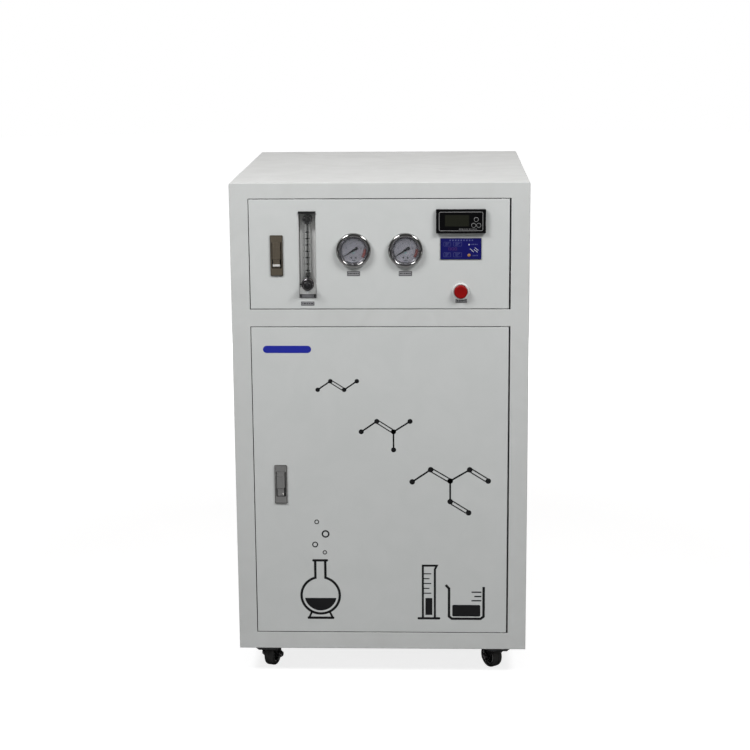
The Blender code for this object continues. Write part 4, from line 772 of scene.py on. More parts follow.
# flush latches: the button is dished, so that its lower lip catches the lamps
latchLook = {
    "dish": 0.0017, "dishRadius": 0.0098, "ribs": 3, "ribPitch": 0.0022, "ribHigh": 0.0003,
    "sideGap": 0.0016, "rightMore": 0.0006, "corner": 0.0008, "recessSide": 0.0037, "liner": 0.0003,
    "recessDeep": 0.0102, "ring": 0.0006, "edgeLine": 0.0011, "buttonLeft": 0.0012, "buttonRight": 0.0022,
    "buttonEdge": 0.0006, "cuts": 17, "ribsDown": 0.0062, "ribTall": 0.0009, "pivot": 0.0014,
    "pivotIn": 0.0022, "shade": 0.0001,
    "stud": [(0, 0.001), (0.0008, 0.0009), (0.0014, 0.0004), (0.0016, -0.0004), (0, -0.0004)],
}


def dishedButton(node):
    low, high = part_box(node)
    low.x, high.x = low.x + latchLook["buttonLeft"], high.x - latchLook["buttonRight"]
    shape = roundedBox(low, high)
    face = [f for f in shape.faces if f.normal.y < -0.5 or f.calc_center_median().y < low.y + tiny]
    edges = list(dict.fromkeys(edge for f in face for edge in f.edges))
    bmesh.ops.bevel(shape, geom=edges, offset=latchLook["buttonEdge"], segments=3, profile=0.5,
                    affect="EDGES")
    flat = [f for f in shape.faces if f.calc_center_median().y < low.y + tiny]
    edges = list(dict.fromkeys(edge for f in flat for edge in f.edges))
    bmesh.ops.subdivide_edges(shape, edges=edges, cuts=latchLook["cuts"], use_grid_fill=True)
    middle = (low + high) / 2
    for corner in shape.verts:
        if corner.co.y < low.y + tiny:
            away = math.hypot((corner.co.x - middle.x) * 0.9, corner.co.z - middle.z)
            share = max(0.0, 1 - (away / (latchLook["dishRadius"] - 0.0022)) ** 2)
            corner.co.y += latchLook["dish"] * share
    return shape


def latchRibs(node):
    # fine grip lines across the head of the handle
    low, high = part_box(node)
    shape = bmesh.new()
    for row in range(latchLook["ribs"]):
        z = high.z - latchLook["ribsDown"] - row * latchLook["ribPitch"]
        rib = softBox((low.x + 0.0036, low.y - latchLook["ribHigh"], z),
                      (high.x - 0.0045, low.y + 0.0004, z + latchLook["ribTall"]), 0.00025)
        mergeInto(shape, rib)
    return shape


def latchHandle(side):
    # the grip, narrower than its recess, and its two trunnions
    low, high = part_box(f"{side}_latch_handle")
    edge = latchLook["sideGap"]
    grip = roundedBox((low.x + edge, low.y, low.z),
                      (high.x - edge - latchLook["rightMore"], high.y, high.z),
                      (latchLook["corner"], 4, depthEdge), (0.0007, 3, frontRim))
    pivotIn = latchLook["pivotIn"]
    profile = cylinder(latchLook["pivot"], low.x, high.x)
    pivot = turned(profile, (0, high.y - pivotIn, high.z - pivotIn), toRight, 20)
    return mergeInto(grip, pivot)


def recessShade(side):
    # painted shade: black walls and floor of the recess that the grip and the button sit in, and a black
    # ring round it, wider below and at the right
    low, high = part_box(f"{side}_latch_body")
    grip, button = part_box(f"{side}_latch_handle"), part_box(f"{side}_latch_button")
    inset, wall = latchLook["recessSide"], latchLook["liner"]
    x0, x1, z0, z1 = low.x + inset, high.x - inset, button[0].z, grip[1].z
    deep = low.y + latchLook["recessDeep"]
    tray = roundedBox((x0, low.y - latchLook["shade"], z0 - wall), (x1, deep, z1 + wall))
    hollow = roundedBox((x0 + wall, low.y - 0.01, z0), (x1 - wall, deep - wall, z1))
    ring = latchLook["ring"]
    outside = rectangle(x0 - ring, z0 - ring * 1.9, x1 + ring * 1.5, z1 + ring * 0.5, 0.0012)
    inside = rectangle(x0 + wall, z0, x1 - wall, z1)[::-1]
    return addFlat(combined(tray, [hollow]), [outside, inside], low.y, latchLook["shade"])


for side, finish, slotName in (("upper", "latchBronze", "bronze"), ("lower", "latchSilver", "zinc")):
    dressNode(side + "LatchCase", f"{side}_latch_body", finish)
    handle = f"{side}_latch_handle"
    addPiece(side + "LatchHandle", latchHandle(side), finish, handle, [handle])
    addPiece(side + "LatchRibs", latchRibs(handle), finish, handle)
    # painted shade in the recess of each latch
    addPiece(side + "LatchRecessShade", recessShade(side), "needleBlack", f"{side}_door")
    button = f"{side}_latch_button"
    addPiece(side + "LatchButton", dishedButton(button), finish, button, [button], 40)
    dressNode(side + "LatchBolt", f"{side}_latch_bolt", "zincPlate")
    # a dark stroke round the flange, a painted dark reflection on its bevel
    low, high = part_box(f"{side}_latch_body")
    inset = latchLook["edgeLine"] / 2 + 0.0002
    border = rectangle(low.x + inset, low.z + inset, high.x - inset, high.z - inset, 0.001)
    edges = stroke(border, latchLook["edgeLine"], True)
    addPiece(side + "LatchBevelShade", addFlat(bmesh.new(), edges, low.y, 0.00008), "latchShadeInk",
             f"{side}_door")

# a ridge for the thumb on the upper button, a stud on the lower one; both are pale polished metal, far
# lighter than the latch, a painted highlight added to the lamps' own glint
low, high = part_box("upper_latch_button")
ridge = roundedBox((low.x + 0.001, low.y - 0.0016, low.z + 0.003),
                   (high.x - 0.002, low.y + 0.001, low.z + 0.007))
for corner in ridge.verts:
    if corner.co.z > low.z + 0.006 and corner.co.y < low.y:
        corner.co.y = low.y - 0.0001
addPiece("upperLatchThumbRidge", ridge, "latchPaleGlint", "upper_latch_button")
low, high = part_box("lower_latch_button")
stud = turned(latchLook["stud"], (high.x - 0.0045, low.y, low.z + 0.004), toFront, 24)
addPiece("lowerLatchStud", stud, "latchPaleGlint", "lower_latch_button")
print("latches ready")


# flow meter: a clear block with its tube, float, guide rod, scale and valve
flowLook = {
    "backing": 0.0012, "cap": 0.0042, "foot": 0.0072, "ticks": 29, "scaleLow": 0.0155, "scaleHigh": 0.1055,
    "proud": 0.003, "deep": 0.033, "outletDown": 0.006, "tubeTall": 0.133, "portHole": 0.0097,
    "backingAt": 0.65, "inset": 0.0008, "overlap": 0.0002, "printThick": 0.00008,
    "longTick": (-0.004, 0.0056, 0.0013), "shortTick": (0.0012, 0.004, 0.0005), "numberLeft": 0.0072,
    "numberTall": 0.004, "lineLeft": 0.0098, "lineRight": 0.0048, "petalOuter": 0.0078,
    "petalInner": 0.0066, "petalHalf": 16,
    "arrow": [(-0.0032, -0.0134), (-0.0016, -0.0134), (0, -0.0164), (0.0016, -0.0134), (0.0032, -0.0134),
              (0, -0.0188)], "portDrill": [(0, 0), (0.0011, 0), (0.0011, 0.0125), (0, 0.013)],
    "petals": (35, 145, 215, 325), "flutes": 18,
    "fitting": [(0, 0.004), (0.003, 0.004), (0.0034, 0.0075), (0.0052, 0.0085), (0.006, 0.007),
                (0.0078, 0.0065), (0.0092, 0.008), (0.0095, 0.01), (0.0095, 0.018), (0.0088, 0.0185),
                (0.0088, 0.02), (0.0095, 0.0205), (0.0095, 0.034), (0, 0.034)],
    "rodProfile": [(0, 0), (0.0012, 0), (0.0012, 0.129), (0.0028, 0.1292), (0.0028, 0.1312),
                   (0.0012, 0.1318), (0.0012, 0.143), (0, 0.1434)],
    "collar": [(0.0078, 0.0034), (0.0078, 0.0044), (0.0088, 0.006), (0.0104, 0.0062), (0.0116, 0.0056),
               (0.012, 0.0044), (0.012, 0.0034)],
    "ring": [(0.0114, 0.0052), (0.0118, 0.0062), (0.0126, 0.0058), (0.0128, 0.0046), (0.0126, 0.0034),
             (0.0116, 0.0034)],
    "spigot": [(0, 0.033), (0.0105, 0.0342, 6), (0.0105, 0.04, 6), (0.0075, 0.0402), (0.0075, 0.052),
               (0.0045, 0.0524), (0.0045, 0.04), (0, 0.04)],
}


flowLow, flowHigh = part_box("flow_meter_body")
flowLow.y, flowHigh.y = front - flowLook["proud"], front + flowLook["deep"]
flowX = (flowLow.x + flowHigh.x) / 2
flowPort = middleOf("flow_meter_knob").z
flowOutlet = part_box("flow_meter_rod")[1].z - flowLook["outletDown"]


def flowBody():
    low, high, x, port = flowLow, flowHigh, flowX, flowPort
    dressNode("flowBlock", "flow_meter_body", "acrylicClear")
    behind = low.y + (high.y - low.y) * flowLook["backingAt"]
    inset, over = flowLook["inset"], flowLook["overlap"]
    backing = softBox((low.x + inset, behind, low.z + inset),
                      (high.x - inset, behind + flowLook["backing"], high.z - inset), 0.0004)
    holes = [turned(cylinder(flowLook["portHole"], -0.01, 0.01), (x, behind, z), toBack, 40)
             for z in (port, flowOutlet)]
    addPiece("flowBacking", combined(backing, holes), "backingGrey", "upper_door")
    capZ = high.z - flowLook["cap"]
    # a black strip along the top of the block: painted shadow of the edge of the door's cut-out
    cap = softBox((low.x - over, low.y - over, capZ), (high.x + over, high.y, high.z + over), 0.0005)
    addPiece("flowTopShadeStrip", cap, "caseBlack", "upper_door")
    sides = bmesh.new()
    for x0, x1 in ((low.x - 0.0006, low.x - 0.0001), (high.x + 0.0001, high.x + 0.0006)):
        addBox(sides, (x0, low.y + 0.0034, low.z), (x1, low.y + 0.02, capZ - 0.0002), 0.0002)
    addPiece("flowSideSeals", sides, "backingGrey", "upper_door")
    # a pale plate low in the block: painted light where the knob's shadow falls
    patch = softBox((low.x + 0.0014, front - 0.0014, low.z + 0.0078),
                    (high.x - 0.0014, front + 0.0006, low.z + 0.0215), 0.0005)
    addPiece("flowFootLitPatch", patch, "rimWhite", "upper_door")
    tube = sleeve(0.004, 0.0056, 0, flowLook["tubeTall"])
    pipe = turned(tube, (x, middleOf("flow_meter_rod").y, port + 0.01), toTop, 40, loop=True)
    slot = roundedBox((x - 0.01, low.y - 0.01, low.z),
                      (x + 0.01, middleOf("flow_meter_rod").y + 0.0012, high.z))
    addPiece("flowTubeShell", combined(pipe, [slot]), "rimWhite", "upper_door")
    foot = softBox((low.x + 0.0012, low.y + 0.0012, low.z + 0.0006),
                   (high.x - 0.0012, low.y + 0.006, low.z + flowLook["foot"]), 0.0006)
    addPiece("flowFootBar", foot, "inkGrey", "upper_door")
    ends = bmesh.new()
    for x0 in (low.x + 0.001, high.x - 0.0046):
        addBox(ends, (x0, low.y + 0.0008, low.z + 0.0008),
               (x0 + 0.0036, low.y + 0.005, low.z + flowLook["foot"]), 0.0005)
    addPiece("flowFootEnds", ends, "caseBlack", "upper_door")
    drilling = turned(flowLook["portDrill"], (low.x + 0.0006, front + 0.004, port - 0.002), toRight, 20)
    addPiece("flowCrossPort", drilling, "needleBlack", "upper_door")


def flowInner():
    # the outlet fitting shows through the top of the block
    x, z = flowX, flowOutlet
    addPiece("flowOutletFitting", turned(flowLook["fitting"], (x, front - 0.0005, z), toBack, 40),
             "caseBlack", "upper_door")
    petals = bmesh.new()
    for turn in flowLook["petals"]:
        span = turn - flowLook["petalHalf"], turn + flowLook["petalHalf"], 6
        petal = arc(x, z, flowLook["petalOuter"], *span) + arc(x, z, flowLook["petalInner"], *span)[::-1]
        addFlat(petals, [petal], front + 0.0052, 0.0003)
    addPiece("flowFittingGlints", petals, "inkGrey", "upper_door")
    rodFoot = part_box("flow_meter_rod")[0].z
    rodY = middleOf("flow_meter_rod").y
    addPiece("flowGuideRod", turned(flowLook["rodProfile"], (x, rodY, rodFoot), toTop, 24), "needleBlack",
             "upper_door", ["flow_meter_rod"])
    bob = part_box("flow_meter_float")
    size = bob[1].z - bob[0].z
    bobProfile = [(0.0016, 0), (0.003, 0), (0.0034, size * 0.18), (0.0046, size * 0.55),
                  (0.005, size * 0.62), (0.005, size * 0.86), (0.0046, size * 0.93), (0.003, size),
                  (0.0016, size)]
    addPiece("flowFloat", turned(bobProfile, (x, rodY, bob[0].z), toTop, 32, loop=True), "caseBlack",
             "flow_meter_float", ["flow_meter_float"])


def flowScale():
    # printed on the block's face
    x, port, face, thick = flowX, flowPort, flowLow.y, flowLook["printThick"]
    marks, figures = bmesh.new(), bmesh.new()
    z0, z1 = port + flowLook["scaleLow"], port + flowLook["scaleHigh"]
    for tick in range(flowLook["ticks"]):
        z = z0 + (z1 - z0) * tick / (flowLook["ticks"] - 1)
        long = tick % 4 == 0
        reach, wide, tall = flowLook["longTick" if long else "shortTick"]
        addFlat(marks, [rectangle(x + reach, z - tall / 2, x + wide, z + tall / 2)], face, thick)
        if long:
            addNumber(figures, str(tick // 4 + 1), flowLook["numberTall"], x - flowLook["numberLeft"], z,
                      face)
            addFlat(marks, [arc(x, z, 0.0016, steps=12)], face - thick - tiny, thick)
    addPiece("flowScaleMarks", marks, "inkBlack", "upper_door")
    frameLine = bmesh.new()
    for start in (x - flowLook["lineLeft"], x - flowLook["lineRight"]):
        addFlat(frameLine, [rectangle(start, z0, start + 0.0004, z1 + 0.004)], face, thick)
    addFlat(frameLine, [rectangle(x - flowLook["lineLeft"], z1 + 0.004, x + 0.0066, z1 + 0.0045)], face,
            thick)
    addPiece("flowScaleLines", frameLine, "inkGrey", "upper_door")
    addPiece("flowScaleNumbers", figures, "inkGrey", "upper_door")
    arrow = [[(x + a, port + b) for a, b in flowLook["arrow"]]]
    addPiece("flowArrow", addFlat(bmesh.new(), arrow, face), "inkWhite", "upper_door")


def flowKnob():
    # a knurled grip on a pale collar
    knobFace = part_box("flow_meter_knob")[0].y
    reach = front - knobFace
    grip = [(0, reach - 0.0003), (0.0056, reach - 0.0003), (0.0068, reach - 0.0009)]
    grip += [(0.0069 + 0.0004 * (row % 2), reach - 0.0014 - row * 0.0011) for row in range(12)]
    grip += [(0.0074, 0.0044), (0.003, 0.004), (0.003, -0.0125), (0, -0.0125)]
    place = (flowX, front, flowPort)
    addPiece("flowKnobGrip", turned(grip, place, toFront, 40), "caseBlack", "flow_meter_knob",
             ["flow_meter_knob"], 60)
    flutes = bmesh.new()
    for row in range(flowLook["flutes"]):
        turn = 2 * math.pi * row / flowLook["flutes"]
        flute = softBox((0.0066, -0.0005, 0.0052), (0.0079, 0.0005, reach - 0.0012), 0.0003)
        mergeMoved(flutes, flute, spun(place, turn, Matrix.Rotation(math.pi / 2, 4, "X")))
    addPiece("flowKnobFlutes", flutes, "caseBlack", "flow_meter_knob")
    line = softBox((flowX - 0.0004, knobFace, flowPort),
                   (flowX + 0.0004, knobFace + 0.0006, flowPort + 0.0052), 0.0002)
    addPiece("flowKnobLine", line, "inkGrey", "flow_meter_knob")
    addPiece("flowKnobCollar", turned(flowLook["collar"], place, toFront, 48, loop=True), "ringSteel",
             "flow_meter_knob")
    addPiece("flowKnobRing", turned(flowLook["ring"], place, toFront, 48, loop=True), "caseBlack",
             "flow_meter_knob")


def flowSpigots():
    spigots = bmesh.new()
    for z in (flowPort, flowOutlet):
        addTurned(spigots, flowLook["spigot"], (flowX, front, z), toBack, 36)
    addPiece("flowSpigots", spigots, "brassTurned", "upper_door")


flowBody()
flowInner()
flowScale()
flowKnob()
flowSpigots()
print("flow meter ready")


# pressure gauges: case and bezel, dial, printed scale, lens, pointer
gaugeLook = {
    "bezel": 0.035, "lip": 0.0285, "dial": 0.0292, "scale": 0.0238, "number": 0.015, "start": 212,
    "sweep": 250, "redFrom": 5, "redTo": -38, "needle": 0.0232, "tail": 0.0102, "tailWide": 0.0064,
    "divisions": 50, "redOuter": 0.0244, "redInner": 0.0198,
    "zones": (("RedEdge", "dialInk", 0.00013, 0.0006, 1.2), ("RedZone", "dialRed", 0.00026, 0, 0)),
    "ticks": ((0.0032, 0.0012), (0.0022, 0.0007), (0.0013, 0.00035)),
    "cone": [(0.0246, 0.0013), (0.0286, 0.0062), (0.0293, 0.0064), (0.0293, 0.0012)],
}


def dialMarks(x, z, face):
    shape = bmesh.new()
    r = gaugeLook["scale"]
    for tick in range(gaugeLook["divisions"] + 1):
        turn = math.radians(gaugeLook["start"] - gaugeLook["sweep"] * tick / gaugeLook["divisions"])
        long, wide = gaugeLook["ticks"][0 if tick % 10 == 0 else 1 if tick % 5 == 0 else 2]
        line = [(x + a * math.cos(turn), z + a * math.sin(turn)) for a in (r - long, r)]
        addFlat(shape, stroke(line, wide), face)
        if tick % 10 == 0:
            a = gaugeLook["number"]
            addNumber(shape, str(tick // 5), 0.0052, x + a * math.cos(turn), z + a * math.sin(turn), face)
    sweep = arc(x, z, r + 0.0004, gaugeLook["start"] - gaugeLook["sweep"], gaugeLook["start"], 60)
    addFlat(shape, stroke(sweep, 0.0007), face)
    for side in (-1, 1):
        addFlat(shape, [arc(x + side * 0.0043, z - 0.015, 0.0021, steps=16)], face)
    addFlat(shape, [rectangle(x - 0.0034, z - 0.0212, x + 0.0034, z - 0.0194)], face)
    return shape


def gauge(side, body="upper_door"):
    x, z = middleOf(side + "_gauge_lens").x, middleOf(side + "_gauge_lens").z
    place = (x, front, z)
    bezel = gaugeLook["bezel"]
    profile = [(0, 0.0003), (0.0296, 0.0003), (0.0296, 0.0084), (gaugeLook["lip"], 0.0084),
               (gaugeLook["lip"], 0.0092), (0.0291, 0.0098), (0.03, 0.01), (0.0316, 0.0099),
               (0.0329, 0.0094), (0.0339, 0.0085), (0.0346, 0.0072), (bezel, 0.0056), (bezel, 0.0016),
               (0.0346, 0.0006), (0.0338, 0.0003), (0.031, 0.0003), (0.031, -0.0272), (0.0302, -0.029),
               (0.0284, -0.03), (0, -0.03)]
    addPiece(side + "GaugeBezel", turned(profile, place, toFront, 96), "bezelChrome", body,
             [side + "_gauge_case"], 40)
    stem = [(0, -0.0298), (0.008, -0.03, 4), (0.008, -0.038, 4), (0.0062, -0.0384)]
    stem += [(0.0065 if row % 2 else 0.0058, -0.039 - row * 0.0009) for row in range(15)]
    stem += [(0.004, -0.0524), (0, -0.0524)]
    addPiece(side + "GaugeStem", turned(stem, place, toFront, 40), "brassTurned", body)
    # the dial's dark grey is painted shade
    dial = [(0, 0.0004), (gaugeLook["dial"], 0.0004), (gaugeLook["dial"], 0.0011), (0, 0.0012)]
    addPiece(side + "GaugeDial", turned(dial, place, toFront, 72), "dialShadedLilac", body)
    addPiece(side + "GaugeInnerRing", turned(gaugeLook["cone"], place, toFront, 96, loop=True), "ringSteel",
             body)
    face = front - 0.00121
    addPiece(side + "GaugeMarks", dialMarks(x, z, face), "dialInk", body)
    for name, finish, out, grow, more in gaugeLook["zones"]:
        turns = gaugeLook["redTo"] - more, gaugeLook["redFrom"] + more, 14
        outer, inner = gaugeLook["redOuter"] + grow, gaugeLook["redInner"] - grow
        zone = arc(x, z, outer, *turns) + arc(x, z, inner, *turns)[::-1]
        addPiece(side + "Gauge" + name, addFlat(bmesh.new(), [zone], face - out), finish, body)
    tick = addFlat(bmesh.new(), [rectangle(x - 0.0008, z - 0.0066, x + 0.0008, z - 0.0052)], face)
    addFlat(tick, [rectangle(x - 0.0022, z - 0.0052, x + 0.0022, z - 0.0044)], face)
    addPiece(side + "GaugeTick", tick, "dialGreen", body)
    low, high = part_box(side + "_gauge_lens")
    glassIn = front - high.y
    glass = [(0, glassIn), (0.029, glassIn), (0.029, glassIn + 0.0012), (0.027, glassIn + 0.0015),
             (0.02, glassIn + 0.0019), (0.01, glassIn + 0.0022), (0, glassIn + 0.0023)]
    addPiece(side + "GaugeLens", turned(glass, place, toFront, 72), "lensGlass", body,
             [side + "_gauge_lens"])
    # the pointer at rest
    pointer = side + "_gauge_pointer"
    turn = math.radians(gaugeLook["start"])
    along, across = Vector((math.cos(turn), math.sin(turn))), Vector((-math.sin(turn), math.cos(turn)))
    tail, half = -gaugeLook["tail"], gaugeLook["tailWide"] / 2
    outline = [(gaugeLook["needle"], 0.0006), (0.004, 0.0017), (0.0012, 0.0023), (-0.003, 0.0022),
               (-0.0058, half), (tail + 0.0008, half * 0.92), (tail, half * 0.5)]
    points = [tuple(Vector((x, z)) + along * a + across * b) for a, b in mirrored(outline)]
    low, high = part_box(pointer)
    needle = addFlat(bmesh.new(), [points], high.y - 0.0008, 0.0007)
    bmesh.ops.recalc_face_normals(needle, faces=needle.faces)
    hubFace = front - low.y
    hub = [(0, hubFace), (0.0012, hubFace), (0.0022, hubFace - 0.0004), (0.0026, hubFace - 0.001),
           (0.0026, 0.0014), (0, 0.0014)]
    addTurned(needle, hub, place, toFront, 32)
    addPiece(side + "GaugeNeedle", needle, "needleBlack", pointer, [pointer])


for side in ("left", "right"):
    gauge(side)
print("gauges ready")


# conductivity monitor: black housing, film with a line frame, dark display, three keys
monitorLook = {"line": 0.001, "inset": 0.0008, "keyRing": 0.0036,
               "dashes": (3, 2, 3, 1, 2, 3, 2, 0, 3, 2, 1, 3, 2, 3), "dashUnit": 0.0007, "dashesFrom": 0.04,
               "terminalRows": 2, "terminalColumns": 8, "keyHole": 0.004,
               "display": (0.0125, 0.0602, 0.0095, 0.0068), "terminalPitch": 0.0082, "terminalRise": 0.014}


def monitor(body="upper_door"):
    dressNode("monitorHousing", "monitor_housing", "glossBlack")
    low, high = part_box("monitor_window")
    keys = {key: middleOf(f"monitor_{key}_key") for key in ("top", "left", "right")}
    holes = [turned(cylinder(monitorLook["keyHole"], -0.01, 0.01), (k.x, low.y, k.z), toFront, 40)
             for k in keys.values()]
    film = roundedBox(low, high, (0.0012, 3, depthEdge), (0.0003, 2, frontRim))
    addPiece("monitorWindow", combined(film, holes), "glossBlack", body, ["monitor_window"])
    edge = monitorLook["inset"]
    border = rectangle(low.x + edge, low.z + edge, high.x - edge, high.z - edge, 0.0028)
    addPiece("monitorLineFrame", addFlat(bmesh.new(), stroke(border, monitorLook["line"], True), low.y),
             "lineGrey", body)
    left, right, rise, fall = monitorLook["display"]
    x0, x1, z0, z1 = low.x + left, low.x + right, low.z + rise, high.z - fall
    addPiece("monitorDisplay", addFlat(bmesh.new(), [rectangle(x0, z0, x1, z1, 0.0008)], low.y), "lcdOlive",
             body)
    rings, dashes = bmesh.new(), bmesh.new()
    for key, heart in keys.items():
        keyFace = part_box(f"monitor_{key}_key")[0].y
        reach = front - keyFace
        cap = [(0, reach - 0.0004), (0.0016, reach - 0.00035), (0.0028, reach - 0.0001), (0.0034, reach),
               (0.0037, reach - 0.0003), (0.0037, reach - 0.0038), (0, reach - 0.0038)]
        addPiece(f"monitor{key.title()}Key", turned(cap, (heart.x, front, heart.z), toFront, 40),
                 "glossBlack", f"monitor_{key}_key", [f"monitor_{key}_key"])
        addFlat(rings, ringBand(heart.x, heart.z, 0.0047, monitorLook["keyRing"] + 0.0002), low.y)
    addPiece("monitorKeyRings", rings, "lineGrey", body)
    at, unit = low.x + monitorLook["dashesFrom"], monitorLook["dashUnit"]
    for size in monitorLook["dashes"]:
        if size:
            addFlat(dashes, [rectangle(at, low.z + 0.0034, at + size * unit, low.z + 0.0047)], low.y)
        at += size * unit + 0.0011
    addPiece("monitorDashes", dashes, "lineGrey", body)
    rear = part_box("monitor_housing")[1]
    block = bmesh.new()
    for row in range(monitorLook["terminalRows"]):
        for column in range(monitorLook["terminalColumns"]):
            x = low.x + 0.012 + column * monitorLook["terminalPitch"]
            z = low.z + 0.01 + row * monitorLook["terminalRise"]
            terminal = softBox((x, rear.y - 0.0002, z), (x + 0.0072, rear.y + 0.0045, z + 0.009), 0.0005)
            mergeInto(block, terminal)
    addPiece("monitorTerminals", block, "terminalGreen", body)


monitor()
print("monitor ready")


# controller: printed film on a black box
controllerLook = {
    "inset": 0.0003, "corner": 0.0008, "filmThick": 0.00025, "dots": 9, "dotPitch": 0.068, "cells": 3,
    "cellPitch": 0.075, "line": 0.0005, "bold": 0.0007, "stroke": 0.0008,
    "boxes": ((0.08, 0.18, 0.17, 0.19), (0.32, 0.18, 0.2, 0.19), (0.08, 0.68, 0.17, 0.21),
              (0.32, 0.68, 0.2, 0.21)),
    "strokes": (((0.725, 0.5), (0.815, 0.66)), ((0.84, 0.44), (0.925, 0.58)), ((0.82, 0.53), (0.91, 0.67))),
    "lamp": [(0, 0.0009), (0.0016, 0.0008), (0.0026, 0.0005), (0.0031, 0.0), (0, 0)],
}


def controller(body="upper_door"):
    dressNode("controllerBox", "controller_module", "caseBlack")
    low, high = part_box("controller_module")
    inset = controllerLook["inset"]
    x0, z0, x1, z1 = low.x + inset, low.z + inset, high.x - inset, high.z - inset
    film = addFlat(bmesh.new(), [rectangle(x0, z0, x1, z1, controllerLook["corner"])], low.y,
                   controllerLook["filmThick"])
    addPiece("controllerFilm", film, "filmBlue", body)
    face = low.y - controllerLook["filmThick"]

    def at(u, v):
        # shares of the film's width and height, from its upper left corner
        return x0 + (x1 - x0) * u, z1 - (z1 - z0) * v

    pale, rose, white = bmesh.new(), bmesh.new(), bmesh.new()
    for dot in range(controllerLook["dots"]):
        u = 0.22 + dot * controllerLook["dotPitch"]
        addFlat(pale, [rectangle(*at(u, 0.125), *at(u + 0.034, 0.06))], face)
    for u, v, wide, tall in controllerLook["boxes"]:
        box = rectangle(*at(u, v + tall), *at(u + wide, v), 0.0012)
        addFlat(pale, stroke(box, controllerLook["line"], True), face)
        for row in range(3):
            level = v + tall * (0.25 + row * 0.25)
            ends = [at(u + wide * 0.22, level), at(u + wide * (0.8 - 0.14 * row), level)]
            addFlat(pale, stroke(ends, controllerLook["bold"]), face)
    for column in range(controllerLook["cells"]):
        u = 0.2 + column * controllerLook["cellPitch"]
        addFlat(rose, stroke(rectangle(*at(u, 0.56), *at(u + 0.05, 0.45), 0.0008), 0.0006, True), face)
    for dash in range(4):
        addFlat(pale, [rectangle(*at(0.76 + dash * 0.04, 0.315), *at(0.785 + dash * 0.04, 0.265))], face)
        addFlat(pale, [rectangle(*at(0.79 + dash * 0.034, 0.855), *at(0.81 + dash * 0.034, 0.8))], face)
    addFlat(white, [arc(*at(0.7, 0.3), 0.0014, steps=24)], face)
    for start, end in controllerLook["strokes"]:
        addFlat(white, stroke([at(*start), at(*end)], controllerLook["stroke"]), face)
    addPiece("controllerIcons", pale, "inkPale", body)
    addPiece("controllerCells", rose, "inkRose", body)
    addPiece("controllerStrokes", white, "inkWhite", body)
    x, z = at(0.7, 0.81)
    addPiece("controllerLamp", turned(controllerLook["lamp"], (x, face, z), toFront, 32), "inkOrange", body)


controller()


# mains switch: pale rim, red cap with a shallow dish
switchLook = {
    "cap": 0.0134, "proud": 0.012, "dish": 0.0007,
    "rim": [(0, -0.003), (0.0139, -0.003), (0.0139, 0.0034), (0.0143, 0.004), (0.016, 0.004),
            (0.017, 0.0034), (0.0176, 0.0022), (0.0177, 0.0004), (0.015, 0.0003), (0.015, -0.018),
            (0.0146, -0.0184), (0.0146, -0.037), (0.0138, -0.038), (0, -0.038)],
    "nut": [(0.0151, -0.002), (0.0195, -0.002, 6), (0.0195, -0.0065, 6), (0.0151, -0.0065)],
}


def mainsSwitch(body="upper_door"):
    heart = middleOf("power_switch_cap")
    place = (heart.x, front, heart.z)
    addPiece("switchRim", turned(switchLook["rim"], place, toFront, 72), "rimWhite", body,
             ["power_switch_body"], 40)
    r, proud, dish = switchLook["cap"], switchLook["proud"], switchLook["dish"]
    cap = [(0, proud - dish), (r * 0.35, proud - dish * 0.85), (r * 0.62, proud - dish * 0.35),
           (r * 0.8, proud), (r * 0.9, proud - 0.0003), (r * 0.965, proud - 0.0011), (r, proud - 0.0026),
           (r, 0.004), (r * 0.97, 0.0036), (r * 0.97, 0.001), (0, 0.001)]
    addPiece("switchCap", turned(cap, place, toFront, 72), "capRed", "power_switch_cap",
             ["power_switch_cap"], 40)
    addPiece("switchNut", turned(switchLook["nut"], place, toFront, 48, loop=True), "caseBlack", body)
    tabs = bmesh.new()
    for side in (-1, 1):
        x, y, z = heart.x + side * 0.006, front + 0.038, heart.z
        tab = softBox((x - 0.0004, y - 0.001, z - 0.0031), (x + 0.0004, y + 0.0085, z + 0.0031), 0.0003)
        mergeInto(tabs, tab)
    addPiece("switchTabs", tabs, "brassTurned", body)


mainsSwitch()
print("controller and switch ready")


# small plates under the instruments, each with a border and plain dashes
plateLook = {"thick": 0.0004, "border": 0.0008, "line": 0.0009, "corner": 0.0008, "dash": 0.0022}


def smallPlate(name, x, z, wide, tall, dashes, body="upper_door"):
    x0, z0, x1, z1 = x - wide / 2, z - tall / 2, x + wide / 2, z + tall / 2
    outline = rectangle(x0, z0, x1, z1, plateLook["corner"])
    plate = addFlat(bmesh.new(), [outline], front, plateLook["thick"])
    addPiece(name, plate, "tagGrey", body)
    face = front - plateLook["thick"]
    inset = plateLook["border"]
    border = rectangle(x0 + inset, z0 + inset, x1 - inset, z1 - inset)
    ink = addFlat(bmesh.new(), stroke(border, plateLook["line"], True), face)
    total = sum(dashes) + len(dashes) - 1
    unit = (wide - 6 * inset) / total
    at, half = x0 + 3 * inset, plateLook["dash"] / 2
    for dash in dashes:
        addFlat(ink, [rectangle(at, z - half, at + dash * unit, z + half)], face)
        at += (dash + 1) * unit
    addPiece(name + "Print", ink, "tagDark", body)


gaugeHeart = middleOf("left_gauge_lens")
switchHeart = middleOf("power_switch_cap")
plates = (
    ("leftGaugePlate", -0.0525, gaugeHeart.z - 0.0473, 0.026, 0.0097, (2, 3, 1, 3, 2, 2)),
    ("rightGaugePlate", 0.0516, gaugeHeart.z - 0.0473, 0.0268, 0.0097, (3, 1, 2, 3, 2, 1)),
    ("flowPlate", flowX - 0.0008, flowLow.z - 0.0116, 0.027, 0.0082, (1, 3, 2, 2, 3)),
    ("switchPlate", switchHeart.x + 0.0011, switchHeart.z - 0.0192, 0.0233, 0.0077, (2, 2, 3, 2)),
)
for facts in plates:
    smallPlate(*facts)
print("small plates ready")


